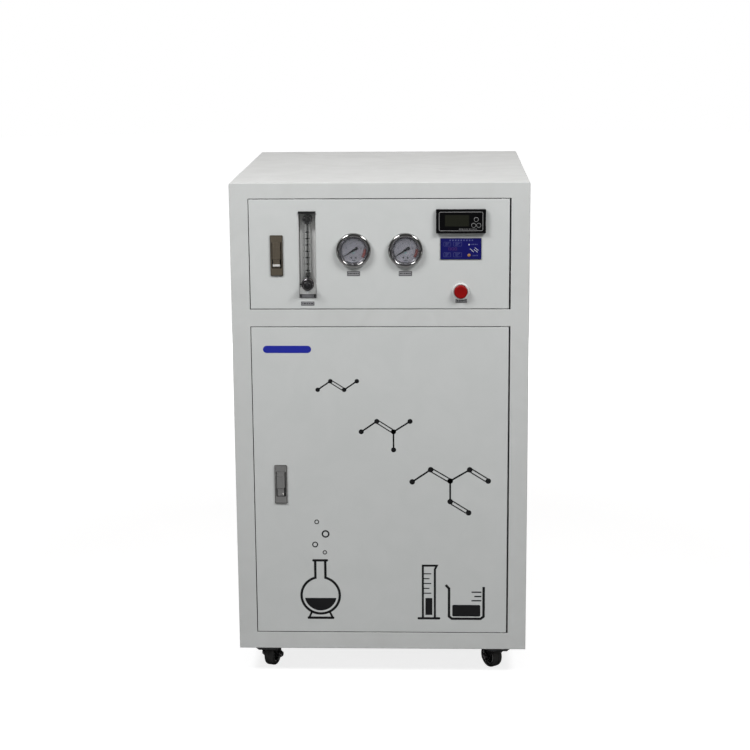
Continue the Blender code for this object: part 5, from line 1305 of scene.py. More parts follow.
# printed decoration on the lower door: open chains, lab glass and bubbles
printLook = {
    "bond": 0.0036, "atom": 0.0058, "outline": 0.0052, "thin": 0.0028, "base": 0.028, "flaskX": -0.128,
    "neck": 0.0105, "neckTall": 0.036, "lipOut": 0.006, "standHalf": 0.028,
    "chains": (
        (1.0, (0.064, 0.424), (0.102, 0.45), (0.142, 0.426), (0.182, 0.45), (0.22, 0.426)),
        (1.0, (0.142, 0.426), (0.142, 0.382), (0.18, 0.358)),
        (0.9, (-0.04, 0.53), (-0.008, 0.552), (0.026, 0.53), (0.06, 0.552)),
        (0.9, (0.026, 0.53), (0.026, 0.492)),
        (0.8, (-0.128, 0.618), (-0.102, 0.636), (-0.074, 0.618), (-0.048, 0.636)),
    ),
    "bubbles": ((0.01, 0.146, 0.0046), (-0.01, 0.163, 0.0062), (0.012, 0.186, 0.0082),
                (-0.006, 0.212, 0.005)),
    "bar": (-0.238, 0.6945, -0.14, 0.7095, 0.0075),
}


def chain(shape, points, scale, face=front):
    # bonds between dots, each second bond doubled
    stops = [Vector(point) for point in points]
    for i, (a, b) in enumerate(zip(stops, stops[1:])):
        along = (b - a).normalized()
        double = i % 2 == 1
        across = Vector((-along.y, along.x)) * printLook["bond"] * scale
        gap = along * printLook["atom"] * 0.7 * scale
        for shift in ((-1, 1) if double else (0,)):
            line = [tuple(a + gap + across * shift), tuple(b - gap + across * shift)]
            addFlat(shape, stroke(line, printLook["bond"] * scale * (0.68 if double else 1)), face)
    for a in stops:
        addFlat(shape, [arc(a.x, a.y, printLook["atom"] * scale, steps=20)], face)


def roundFlask(ink, x, base, r):
    line = printLook["outline"]
    heart, neck = base + r + 0.012, printLook["neck"]
    lean = math.degrees(math.asin(neck / r))
    bulb = arc(x, heart, r, 90 - lean, lean - 270, 56)
    top = heart + r + printLook["neckTall"]
    lip, stand = neck + printLook["lipOut"], printLook["standHalf"]
    addFlat(ink, stroke([(x + neck, top)] + bulb + [(x - neck, top)], line), front)
    addFlat(ink, [rectangle(x - lip, top - 0.002, x + lip, top + 0.003, 0.002)], front)
    addFlat(ink, [arc(x, heart, r - line * 1.3, 190, 350, 40)], front)
    addFlat(ink, [rectangle(x - stand, base, x + stand, base + line, 0.0015)], front)
    for side in (-1, 1):
        leg = [(x + side * 0.025, base + 0.002), (x + side * 0.018, heart - r * 0.86)]
        addFlat(ink, stroke(leg, line * 0.8), front)


def openBeaker(ink, x, base, half, tall):
    line = printLook["outline"]
    wall = [(x - half - 0.007, base + tall + 0.004), (x - half, base + tall - 0.004),
            (x - half, base + 0.007), (x - half + 0.006, base + 0.002), (x + half - 0.006, base + 0.002),
            (x + half, base + 0.007), (x + half, base + tall)]
    addFlat(ink, stroke(wall, line), front)
    inset = line * 1.3
    filled = rectangle(x - half + inset, base + 0.007, x + half - inset, base + tall * 0.45, 0.003)
    addFlat(ink, [filled], front)
    for row in range(3):
        z = base + tall * 0.56 + row * tall * 0.13
        start = x + half * (0.3 + 0.16 * (row % 2))
        addFlat(ink, [rectangle(start, z, x + half - line * 0.9, z + printLook["thin"])], front)


def measuringCylinder(ink, x, base, half, tall):
    line = printLook["outline"] * 0.85
    addFlat(ink, [rectangle(x - half * 1.9, base, x + half * 1.9, base + 0.005, 0.002)], front)
    wall = [(x - half, base + 0.004), (x - half, base + tall), (x + half + 0.004, base + tall),
            (x + half, base + tall - 0.008), (x + half, base + 0.004)]
    addFlat(ink, stroke(wall, line), front)
    inset = line * 1.2
    addFlat(ink, [rectangle(x - half + inset, base + 0.01, x + half - inset, base + tall * 0.4)], front)
    for row in range(5):
        z = base + tall * 0.48 + row * tall * 0.09
        end = x + half * (0.1 if row % 2 else 0.4)
        addFlat(ink, [rectangle(x - half, z, end, z + printLook["thin"] * 0.8)], front)


def decoration():
    # the chains fall from the upper left to the lower right
    ink = bmesh.new()
    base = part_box("lower_door")[0].z + printLook["base"]
    for scale, *points in printLook["chains"]:
        chain(ink, points, scale)
    openBeaker(ink, 0.176, base, 0.036, 0.072)
    measuringCylinder(ink, 0.098, base, 0.0125, 0.118)
    roundFlask(ink, printLook["flaskX"], base, 0.04)
    for dx, rise, size in printLook["bubbles"]:
        addFlat(ink, ringBand(printLook["flaskX"] + dx, base + rise, size, size * 0.62, 28), front)
    addPiece("lowerDoorPrint", ink, "inkBlack", "lower_door")
    bar = addFlat(bmesh.new(), [rectangle(*printLook["bar"])], front)
    addPiece("lowerDoorBlueBar", bar, "inkBlue", "lower_door")


decoration()
print("door print ready")


# swivel casters
casterLook = {"tread": 0.025, "half": 0.0105, "groove": 0.0007, "spokes": 6, "bolt": 0.0042, "lip": 0.0016,
              "drop": 0.0055, "boltApart": 0.0195, "spokeHalf": 0.0009, "flange": 0.003, "slope": 0.007}
jointOf = {joint["name"]: joint for joint in frame["joints"]}


def spanAlong(node, heart, axis):
    return max((corner.co - heart).dot(axis) for corner in cadNodes[node].data.vertices)


def caster(corner):
    name = camelName(corner)
    plate, fork, wheel = (f"{corner}_caster_{part}" for part in ("plate", "fork", "wheel"))
    joint = jointOf[corner + "_wheel_spin"]
    heart, axis = Vector(joint["pos_m"]), Vector(joint["axis"]).normalized()
    r, half = casterLook["tread"], casterLook["half"]
    web = half - 0.0035
    side = [(0.0176, web), (0.0176, half - 0.0006), (0.0184, half), (0.0212, half), (0.0228, half - 0.0005),
            (0.0238, half - 0.0014), (0.0246, half - 0.0028), (r, half - 0.0048), (r, 0.001),
            (r - casterLook["groove"], 0.0006)]
    addPiece(name + "Tread", turned(mirrored(side), heart, axis, 72, loop=True), "treadRubber", wheel,
             [wheel], 40)
    hubSide = [(0.0033, half), (0.0068, half), (0.0076, half - 0.0006), (0.008, web - 0.0008),
               (0.015, web - 0.0012), (0.0165, web - 0.0002), (0.0176, web)]
    hub = turned(mirrored(hubSide), heart, axis, 60, loop=True)
    toAxis = axis.to_track_quat("Z", "Y").to_matrix().to_4x4()
    for way in (-1, 1):
        for spoke in range(casterLook["spokes"]):
            turn = 2 * math.pi * spoke / casterLook["spokes"]
            rib = softBox((0.007, -casterLook["spokeHalf"], web - 0.0015),
                          (0.0172, casterLook["spokeHalf"], web + 0.0012), 0.0004)
            mergeMoved(hub, rib, spun(heart, turn, toAxis @ Matrix.Scale(way, 4, (0, 0, 1))))
    addPiece(name + "Hub", hub, "casterBlack", wheel)
    dressNode(name + "Fork", fork, "casterBlack")
    ends = bmesh.new()
    for way in (-1, 1):
        reach = spanAlong(fork, heart, axis * way)
        head = [(0, reach + 0.0006), (0.003, reach + 0.0006), (0.0052, reach + 0.0001, 6),
                (0.0058, reach - 0.0006, 6), (0.0058, reach - 0.0033, 6), (0.0072, reach - 0.0034),
                (0.0072, reach - 0.004), (0, reach - 0.004)]
        addTurned(ends, head, heart, axis * way, 36)
    addPiece(name + "AxleNuts", ends, "ringSteel", fork)
    # a pale zinc ring on each side of the hub: painted highlight for the glints on the glossy black wheel
    glintRims = bmesh.new()
    for way in (-1, 1):
        rim = [(0.0152, web - 0.001), (0.0158, half - 0.0012), (0.0166, half - 0.0006),
               (0.0172, half - 0.0012), (0.0174, web - 0.001)]
        addTurned(glintRims, rim, heart, axis * way, 60, loop=True)
    addPiece(name + "HubGlintRims", glintRims, "zincPlate", wheel)
    dressNode(name + "Plate", plate, "casterBlack")
    low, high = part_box(plate)
    lip, drop = casterLook["lip"], high.z - casterLook["drop"]
    under, slope = high.z - casterLook["flange"], casterLook["slope"]
    flare = [(low.x, under), (low.x, drop), (low.x + slope, low.z), (high.x - slope, low.z), (high.x, drop),
             (high.x, under)]
    lips = addFlat(bmesh.new(), [flare], low.y, lip, 1)
    addFlat(lips, [flare], high.y, lip)
    addPiece(name + "PlateLips", lips, "casterBlack", "cabinet")
    swivel = Vector(jointOf[corner + "_caster_swivel"]["pos_m"])
    bolts = bmesh.new()
    foot = high.z - 0.0025
    apart = casterLook["boltApart"]
    for x in (-apart, apart):
        for y in (-apart, apart):
            hexHead(bolts, (swivel.x + x, swivel.y + y, foot), toFloor, casterLook["bolt"], 0.0026)
    addPiece(name + "PlateBolts", bolts, "zincPlate", "cabinet")
    seal = [(0.0192, foot - 0.0003), (0.0205, foot - 0.0006), (0.0208, foot - 0.0016),
            (0.0203, foot - 0.0026), (0.0192, foot - 0.0028)]
    addPiece(name + "RaceSeal", turned(seal, (swivel.x, swivel.y, 0), toTop, 48, loop=True), "headGrey",
             "cabinet")


for corner in ("front_left", "front_right", "rear_left", "rear_right"):
    caster(corner)
print("casters ready")


# hose fittings at the back: threaded body, release collar, lock nut
fittingLook = {
    "flange": 0.013, "neck": 0.01, "collet": 0.0078, "bore": 0.0048, "length": 0.024,
    "nut": [(0.0087, -0.0018), (0.014, -0.0018, 6), (0.014, -0.007, 6), (0.0087, -0.007)],
}
fittingColours = {"feed_inlet": "hoseBlue", "product_outlet": "hoseWhite", "drain_outlet": "headGrey"}


def backFitting(node):
    heart = middleOf(node)
    place = (heart.x, back, heart.z)
    body = [(0, -0.014), (fittingLook["bore"], -0.014), (fittingLook["bore"], 0.0185), (0.0082, 0.0185),
            (0.0092, 0.0182), (fittingLook["neck"], 0.0172), (fittingLook["neck"], 0.012), (0.0094, 0.0116),
            (0.0094, 0.0106), (fittingLook["neck"], 0.0102), (fittingLook["neck"], 0.0056),
            (0.0122, 0.005, 6), (fittingLook["flange"], 0.0042, 6), (fittingLook["flange"], 0.0003, 6),
            (0.0085, 0.0003)]
    body += [(0.0085 - 0.0007 * (row % 2), -0.0014 - row * 0.001) for row in range(15)]
    body += [(0, -0.016)]
    name = camelName(node)
    addPiece(name, turned(body, place, toBack, 48), "rimWhite", "cabinet", [node])
    end = fittingLook["length"]
    collet = [(fittingLook["bore"], 0.015), (fittingLook["bore"], end), (0.0072, end),
              (fittingLook["collet"], end - 0.0006), (fittingLook["collet"], end - 0.0024),
              (0.0066, end - 0.003), (0.0066, 0.015)]
    addPiece(name + "Collet", turned(collet, place, toBack, 48, loop=True), fittingColours[node], "cabinet")
    addPiece(name + "LockNut", turned(fittingLook["nut"], place, toBack, 48, loop=True), "rimWhite",
             "cabinet")


for node in fittingColours:
    backFitting(node)


# the pins and screws of the mains inlet
inletLook = {"pins": ((0, 0.0035), (-0.0068, -0.0018), (0.0068, -0.0018)), "screwApart": 0.0205}


def mainsInlet():
    dressNode("mainsInlet", "power_inlet", "caseBlack")
    low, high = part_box("power_inlet")
    heart = (low + high) / 2
    pins, screws = bmesh.new(), bmesh.new()
    for dx, dz in inletLook["pins"]:
        x, z = heart.x + dx, heart.z + dz
        addBox(pins, (x - 0.001, high.y - 0.019, z - 0.0022), (x + 0.001, high.y - 0.003, z + 0.0022),
               0.0006, 3)
    for side in (-1, 1):
        screwHead(screws, (heart.x + side * inletLook["screwApart"], high.y, heart.z), toBack, 0.0032,
                  0.0014)
    addPiece("inletPins", pins, "brassTurned", "cabinet")
    addPiece("inletScrews", screws, "zincPlate", "cabinet")


mainsInlet()


# what holds the back panel, and a plate left blank
backLook = {"inset": 0.012, "rows": 6, "columns": 5, "screw": 0.0042, "proud": 0.0022}


def backScrews():
    low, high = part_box("back_panel")
    shape = bmesh.new()
    inset, size = backLook["inset"], (backLook["screw"], backLook["proud"])
    for x in (low.x + inset, high.x - inset):
        for row in range(backLook["rows"]):
            z = low.z + 0.03 + (high.z - low.z - 0.06) * row / (backLook["rows"] - 1)
            screwHead(shape, (x, back, z), toBack, *size)
    for z in (low.z + inset, high.z - inset):
        for column in range(1, backLook["columns"]):
            x = low.x + (high.x - low.x) * column / backLook["columns"]
            screwHead(shape, (x, back, z), toBack, *size)
    addPiece("backPanelScrews", shape, "zincPlate", "cabinet")
    plate = addFlat(bmesh.new(), [rectangle(-0.06, 0.56, 0.06, 0.64, 0.002)], back, 0.0004, 1)
    addPiece("backBlankPlate", plate, "tagGrey", "cabinet")


backScrews()
print("back ready")


# inside: parts that several pieces share
insideLook = {"hose": 0.0032, "wire": 0.0022, "armLength": 0.0135, "armRadius": 0.0066}


def addRibs(shape, heart, reach, foot, head, count, wide, deep):
    # upright ribs round a vertical axis; their outer faces lie at the reach
    for place in range(count):
        rib = softBox((reach - deep, -wide / 2, foot), (reach, wide / 2, head), wide * 0.3)
        mergeMoved(shape, rib, spun((heart.x, heart.y, 0), 2 * math.pi * place / count))


def addElbow(bodies, collets, bend, *ways):
    # a push-in elbow: short arms from the bend, each with its release collar; gives the arms' ends
    ends = []
    r, length = insideLook["armRadius"], insideLook["armLength"]
    for way in ways:
        arm = [(0, 0), (r * 0.92, 0), (r * 0.92, length * 0.55), (r * 1.12, length * 0.62),
               (r * 1.12, length * 0.93), (r, length), (0.0038, length), (0.0038, length * 0.4),
               (0, length * 0.4)]
        addTurned(bodies, arm, bend, way, 24)
        collar = [(0.0034, length * 0.8), (0.0034, length + 0.0022), (0.0056, length + 0.0022),
                  (0.0056, length + 0.0012), (0.0048, length + 0.0006), (0.0048, length * 0.8)]
        addTurned(collets, collar, bend, way, 24, loop=True)
        ends.append(Vector(bend) + Vector(way) * length * 0.7)
    ball = bmesh.ops.create_uvsphere(bodies, u_segments=20, v_segments=12, radius=r * 0.97)["verts"]
    bmesh.ops.translate(bodies, vec=Vector(bend), verts=ball)
    return ends


# filters: heads on a folded bracket, and two screwed bowls
filterLook = {"headTall": 0.06, "headRadius": 0.062, "bracket": 0.0025}


def filterBracket(low, high, y, head):
    bracket, screws = bmesh.new(), bmesh.new()
    t = filterLook["bracket"]
    x0, x1 = low.x, high.x
    plateTop = high.z
    addBox(bracket, (x0 + 0.044, y - t / 2, head - 0.003), (x1 - 0.044, y + t / 2, plateTop - t / 2),
           0.0008)
    addBox(bracket, (x0 + 0.04, y - 0.04, plateTop - t), (x1 - 0.04, y + 0.04, plateTop), 0.0008)
    for x in (x0 + 0.0475, x1 - 0.0475):
        addBox(bracket, (x - t / 2, y - 0.03, head - 0.001), (x + t / 2, y + 0.03, plateTop - t / 2),
               0.0008)
    for x in (x0 + 0.06, (x0 + x1) / 2, x1 - 0.06):
        for side in (-0.028, 0.028):
            hexHead(screws, (x, y + side, plateTop - t), toFloor, 0.005, 0.0034)
    addPiece("filterBracket", bracket, "zincPlate", "cabinet")
    addPiece("filterBracketBolts", screws, "zincPlate", "cabinet")


def filterBowl(name, heart, base, crown):
    length = crown.z - base.z
    collar = length - 0.034
    profile = [(0, length), (0.0625, length), (0.0638, length - 0.001), (0.0638, collar + 0.0015),
               (0.0625, collar), (0.0575, collar - 0.006)]
    profile += [(0.056, collar - 0.012), (0.0555, length * 0.5), (0.0545, 0.03)]
    profile += [(0.0345 + 0.02 * math.cos(math.radians(t)), 0.02 * (1 - math.sin(math.radians(t))))
                for t in range(0, 91, 15)]
    profile += [(0.018, 0), (0.016, 0.0025), (0, 0.0025)]
    bowl = turned(profile, (heart.x, heart.y, base.z), toTop, 80)
    addRibs(bowl, heart, 0.065, base.z + collar + 0.004, base.z + length - 0.004, 32, 0.0032, 0.004)
    addRibs(bowl, heart, 0.0572, base.z + 0.06, base.z + collar - 0.02, 12, 0.0024, 0.003)
    addPiece(name.split("_")[0] + "Bowl", bowl, "bowlBlue", "cabinet", [name], 40)
    plate = softBox((heart.x - 0.024, heart.y - 0.059, base.z + 0.25),
                    (heart.x + 0.024, heart.y - 0.056, base.z + 0.31), 0.0008)
    addPiece(name.split("_")[0] + "BowlTag", plate, "paperWhite", "cabinet")


def filters():
    low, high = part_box("filter_head_bar")
    bowls = {name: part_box(name) for name in ("sediment_bowl", "carbon_bowl")}
    hearts = {name: (box[0] + box[1]) / 2 for name, box in bowls.items()}
    y = hearts["sediment_bowl"].y
    foot = bowls["sediment_bowl"][1].z + 0.0003
    head, r = foot + filterLook["headTall"], filterLook["headRadius"]
    heads, buttons = bmesh.new(), bmesh.new()
    for heart in hearts.values():
        profile = [(0, head - foot), (0.022, head - foot), (0.024, head - foot - 0.001),
                   (0.046, head - foot - 0.006), (0.054, head - foot - 0.014), (0.056, head - foot - 0.024),
                   (0.056, 0.022), (r - 0.002, 0.018), (r, 0.015), (r, 0.002), (r - 0.002, 0), (0, 0)]
        addTurned(heads, profile, (heart.x, y, foot), toTop, 72)
        addRibs(heads, Vector((heart.x, y, 0)), 0.0575, foot + 0.019, head - 0.02, 20, 0.003, 0.004)
        button = [(0, 0.0065), (0.0045, 0.0065), (0.0055, 0.0055), (0.0055, 0), (0, 0)]
        addTurned(buttons, button, (heart.x + 0.028, y - 0.02, head - 0.004), toTop, 28)
    bridge = softBox((hearts["sediment_bowl"].x + 0.03, y - 0.019, foot + 0.018),
                     (hearts["carbon_bowl"].x - 0.03, y + 0.019, foot + 0.046), 0.004, 3)
    mergeInto(heads, bridge)
    addPiece("filterHeads", heads, "headGrey", "cabinet", ["filter_head_bar"], 40)
    addPiece("filterVentButtons", buttons, "capRed", "cabinet")
    filterBracket(low, high, y, head)
    for name, (base, crown) in bowls.items():
        filterBowl(name, hearts[name], base, crown)
    return hearts, foot


# resin column: a wound tank on a ribbed foot, under a ribbed cap
columnLook = {
    "bandFrom": 0.3, "bandTall": 0.12, "stripeFrom": 0.1, "stripeTo": 0.112, "shoulder": 0.035,
    "base": [(0, 0), (0.07, 0), (0.072, 0.002), (0.072, 0.036), (0.069, 0.04), (0.0655, 0.0402),
             (0.0655, 0.002), (0, 0.002)],
}


def resinColumn():
    low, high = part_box("resin_column")
    x, y = (low.x + high.x) / 2, (low.y + high.y) / 2
    tall = high.z - low.z
    place = (x, y, low.z)
    foot = turned(columnLook["base"], place, toTop, 72)
    addRibs(foot, Vector((x, y, 0)), 0.072, low.z + 0.003, low.z + 0.03, 24, 0.003, 0.003)
    addPiece("columnBase", foot, "headGrey", "cabinet")
    dome = tall - 0.028 - columnLook["shoulder"]
    tank = [(0, 0.003), (0.0648, 0.003), (0.065, dome)]
    tank += [(0.065 * math.cos(math.radians(t)), dome + columnLook["shoulder"] * math.sin(math.radians(t)))
             for t in range(10, 66, 8)]
    tank += [(0.026, tall - 0.0285), (0, tall - 0.0285)]
    addPiece("columnTank", turned(tank, place, toTop, 80), "tankFibre", "cabinet", ["resin_column"],
             40)
    cap = [(0, tall), (0.02, tall), (0.0255, tall - 0.002), (0.0265, tall - 0.006), (0.0265, tall - 0.016),
           (0.028, tall - 0.018), (0.028, tall - 0.026), (0.026, tall - 0.028), (0, tall - 0.028)]
    crown = turned(cap, place, toTop, 60)
    addRibs(crown, Vector((x, y, 0)), 0.028, low.z + tall - 0.016, low.z + tall - 0.004, 18, 0.0022, 0.003)
    addPiece("columnCap", crown, "headGrey", "cabinet")
    bandFoot = tall * columnLook["bandFrom"]
    band = sleeve(0.0651, 0.0655, bandFoot, bandFoot + columnLook["bandTall"])
    addPiece("columnBand", turned(band, place, toTop, 72, loop=True), "paperWhite", "cabinet")
    stripe = sleeve(0.0655, 0.06565, bandFoot + columnLook["stripeFrom"], bandFoot + columnLook["stripeTo"])
    addPiece("columnStripe", turned(stripe, place, toTop, 72, loop=True), "inkBlue", "cabinet")
    return Vector((x, y, low.z + tall - 0.012))


# booster pump: finned motor behind its head, on a folded foot
pumpLook = {
    "axisUp": 0.067, "motorLong": 0.125, "headAhead": 0.058, "lugCircle": 0.041, "legApart": 0.026,
    "boltApart": 0.04, "footThick": 0.0035,
    "motor": [(0, 0), (0.034, 0), (0.038, 0.003), (0.0405, 0.008), (0.0405, 0.02), (0.0425, 0.0205),
              (0.0425, 0.098), (0.0405, 0.0985), (0.0405, 0.114), (0.036, 0.1215), (0.03, 0.1245),
              (0.012, 0.1248), (0.012, 0.1235), (0, 0.1235)],
    "head": [(0, 0.0), (0.02, 0.0), (0.022, 0.003), (0.04, 0.004), (0.046, 0.009), (0.0515, 0.012),
             (0.0515, 0.024), (0.0495, 0.0245), (0.0495, 0.03), (0.0515, 0.0305), (0.0515, 0.045),
             (0.046, 0.05), (0.042, 0.059), (0, 0.059)],
    "lug": [(0, 0.003), (0.0065, 0.004), (0.0065, 0.046), (0, 0.047)],
}


def boosterPump():
    low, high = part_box("booster_pump")
    x = (low.x + high.x) / 2
    axis = low.z + pumpLook["axisUp"]
    motorFront = high.y - pumpLook["motorLong"]
    foot, screws, fins = bmesh.new(), bmesh.new(), bmesh.new()
    addBox(foot, (low.x, low.y, low.z + 0.0005), (high.x, high.y, low.z + pumpLook["footThick"]), 0.0014)
    for side in (-1, 1):
        legX = x + side * pumpLook["legApart"]
        addBox(foot, (legX - 0.0015, motorFront + 0.01, low.z + 0.003),
               (legX + 0.0015, high.y - 0.012, axis - 0.02), 0.001)
    addPiece("pumpFoot", foot, "pumpPaint", "cabinet", ["booster_pump"])
    for side in (-1, 1):
        for y in (low.y + 0.012, high.y - 0.012):
            hexHead(screws, (x + side * pumpLook["boltApart"], y, low.z + pumpLook["footThick"]), toTop,
                    0.0048, 0.0034)
    addPiece("pumpMotor", turned(pumpLook["motor"], (x, motorFront, axis), toBack, 72), "pumpPaint",
             "cabinet")
    for turn in range(0, 360, 15):
        fin = softBox((0.0395, -0.0009, 0.021), (0.043, 0.0009, 0.0975), 0.0005, 1)
        away = Matrix.Rotation(-math.pi / 2, 4, "X")
        mergeMoved(fins, fin, spun((x, motorFront, axis), math.radians(turn), away))
    addPiece("pumpFins", fins, "pumpPaint", "cabinet")
    headFront = motorFront - pumpLook["headAhead"]
    head = turned(pumpLook["head"], (x, headFront, axis), toBack, 72)
    for turn in (45, 135, 225, 315):
        lugX = x + pumpLook["lugCircle"] * math.cos(math.radians(turn))
        lugZ = axis + pumpLook["lugCircle"] * math.sin(math.radians(turn))
        mergeInto(head, turned(pumpLook["lug"], (lugX, headFront, lugZ), toBack, 24))
        hexHead(screws, (lugX, headFront + 0.0045, lugZ), toFront, 0.0042, 0.003)
    addPiece("pumpHead", head, "headGrey", "cabinet")
    addPiece("pumpScrews", screws, "zincPlate", "cabinet")
    plate = turned([(0, 0.0008), (0.015, 0.0008), (0.0156, 0.0), (0, 0)], (x, headFront, axis), toFront, 40)
    addPiece("pumpPlate", plate, "aluPlain", "cabinet")
    return Vector((x, headFront + 0.03, axis))


# membrane vessel: tube with two caps, held by straps on two saddles
vesselLook = {"half": 0.235, "axisDown": 0.052, "strapApart": 0.15, "strapHalf": 0.009, "boltApart": 0.034}


def roVessel():
    low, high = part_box("ro_vessel")
    mid = (low + high) / 2
    axis = high.z - vesselLook["axisDown"]
    place = (0, mid.y, axis)
    half = vesselLook["half"]
    tube = cylinder(0.045, -half + 0.004, half - 0.004)
    addPiece("membraneTube", turned(tube, place, toRight, 72), "vesselWhite", "cabinet", ["ro_vessel"])
    caps, straps, saddles, bolts = bmesh.new(), bmesh.new(), bmesh.new(), bmesh.new()
    for side in (-1, 1):
        way = (side, 0, 0)
        alongWay = Vector(way).to_track_quat("Z", "Y").to_matrix().to_4x4()
        cap = [(0.0452, half - 0.04), (0.0495, half - 0.0395), (0.05, half - 0.037), (0.05, half - 0.004),
               (0.0475, half - 0.0005), (0.03, half), (0.0135, half), (0.012, half + 0.002),
               (0.012, half + 0.0175), (0.005, half + 0.0175), (0.005, half + 0.004), (0, half + 0.004),
               (0, half - 0.03), (0.0452, half - 0.03)]
        addTurned(caps, cap, place, way, 72)
        for turn in range(0, 360, 20):
            lug = softBox((0.0485, -0.0022, half - 0.036), (0.052, 0.0022, half - 0.005), 0.0008)
            mergeMoved(caps, lug, spun(place, math.radians(turn), alongWay))
        x = side * vesselLook["strapApart"]
        strap = sleeve(0.0451, 0.0461, -vesselLook["strapHalf"], vesselLook["strapHalf"])
        addTurned(straps, strap, (x, mid.y, axis), toRight, 72, loop=True)
        cradle = softBox((x - 0.015, mid.y - 0.04, low.z), (x + 0.015, mid.y + 0.04, axis - 0.012), 0.002,
                         3)
        hollow = turned(cylinder(0.0453, -0.03, 0.03), (x, mid.y, axis), toRight, 72)
        cradle = combined(cradle, [hollow])
        mergeInto(saddles, cradle)
        for depth in (-vesselLook["boltApart"], vesselLook["boltApart"]):
            screwHead(bolts, (x, mid.y + depth, low.z + 0.0508), toTop, 0.004, 0.0022)
        addBox(straps, (x - 0.008, mid.y - 0.0535, axis - 0.006), (x + 0.008, mid.y - 0.045, axis + 0.006),
               0.001)
    addPiece("membraneCaps", caps, "headGrey", "cabinet", crease=40)
    addPiece("membraneStraps", straps, "aluPlain", "cabinet")
    addPiece("membraneSaddles", saddles, "headGrey", "cabinet")
    addPiece("membraneBolts", bolts, "zincPlate", "cabinet")
    return Vector((half + 0.018, mid.y, axis))


# power supply: vented case with its terminals
supplyLook = {"caseLong": 0.16, "ventRows": 6, "ventColumns": 9, "ventPitch": 0.0098, "ventRadius": 0.003,
              "terminals": 7}


def powerSupply():
    low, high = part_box("power_supply")
    caseFront = high.y - supplyLook["caseLong"]
    case = softBox((low.x, caseFront, low.z), high, 0.0012)
    vents, vent = [], cylinder(supplyLook["ventRadius"], -0.004, 0.002)
    for row in range(supplyLook["ventRows"]):
        for column in range(supplyLook["ventColumns"]):
            x = low.x + 0.016 + (column + row % 2 / 2) * supplyLook["ventPitch"]
            y = caseFront + 0.03 + row * 0.02
            if x < high.x - 0.01:
                vents.append(turned(vent, (x, y, high.z), toTop, 12))
    grille = bmesh.new()
    mergeInto(grille, *vents)
    addPiece("supplyCase", combined(case, [grille]), "aluPlain", "cabinet", ["power_supply"])
    block, screws = bmesh.new(), bmesh.new()
    foot = low.z + 0.002
    addBox(block, (low.x + 0.015, low.y, foot), (high.x - 0.015, caseFront + 0.002, foot + 0.0075), 0.0005)
    count = supplyLook["terminals"]
    for place in range(count + 1):
        x = low.x + 0.015 + place * 0.08 / count
        addBox(block, (x - 0.0006, low.y + 0.001, foot + 0.006),
               (x + 0.0006, caseFront + 0.001, foot + 0.012), 0.0003, 1)
        if place < count:
            screwHead(screws, (x + 0.0057, low.y + 0.008, foot + 0.0075), toTop, 0.0034, 0.0018)
    addPiece("supplyTerminals", block, "terminalGreen", "cabinet")
    addPiece("supplyTerminalScrews", screws, "zincPlate", "cabinet")
    tag = softBox((low.x + 0.02, high.y - 0.032, high.z - 0.0002),
                  (high.x - 0.02, high.y - 0.012, high.z + 0.0003), 0.0002, 1)
    addPiece("supplyTag", tag, "paperWhite", "cabinet")
    return Vector((low.x + 0.0207, low.y + 0.008, foot + 0.011))


filterHearts, headFoot = filters()
columnPort = resinColumn()
pumpPort = boosterPump()
vesselEnd = roVessel()
supplyScrew = powerSupply()
print("inside pieces ready")
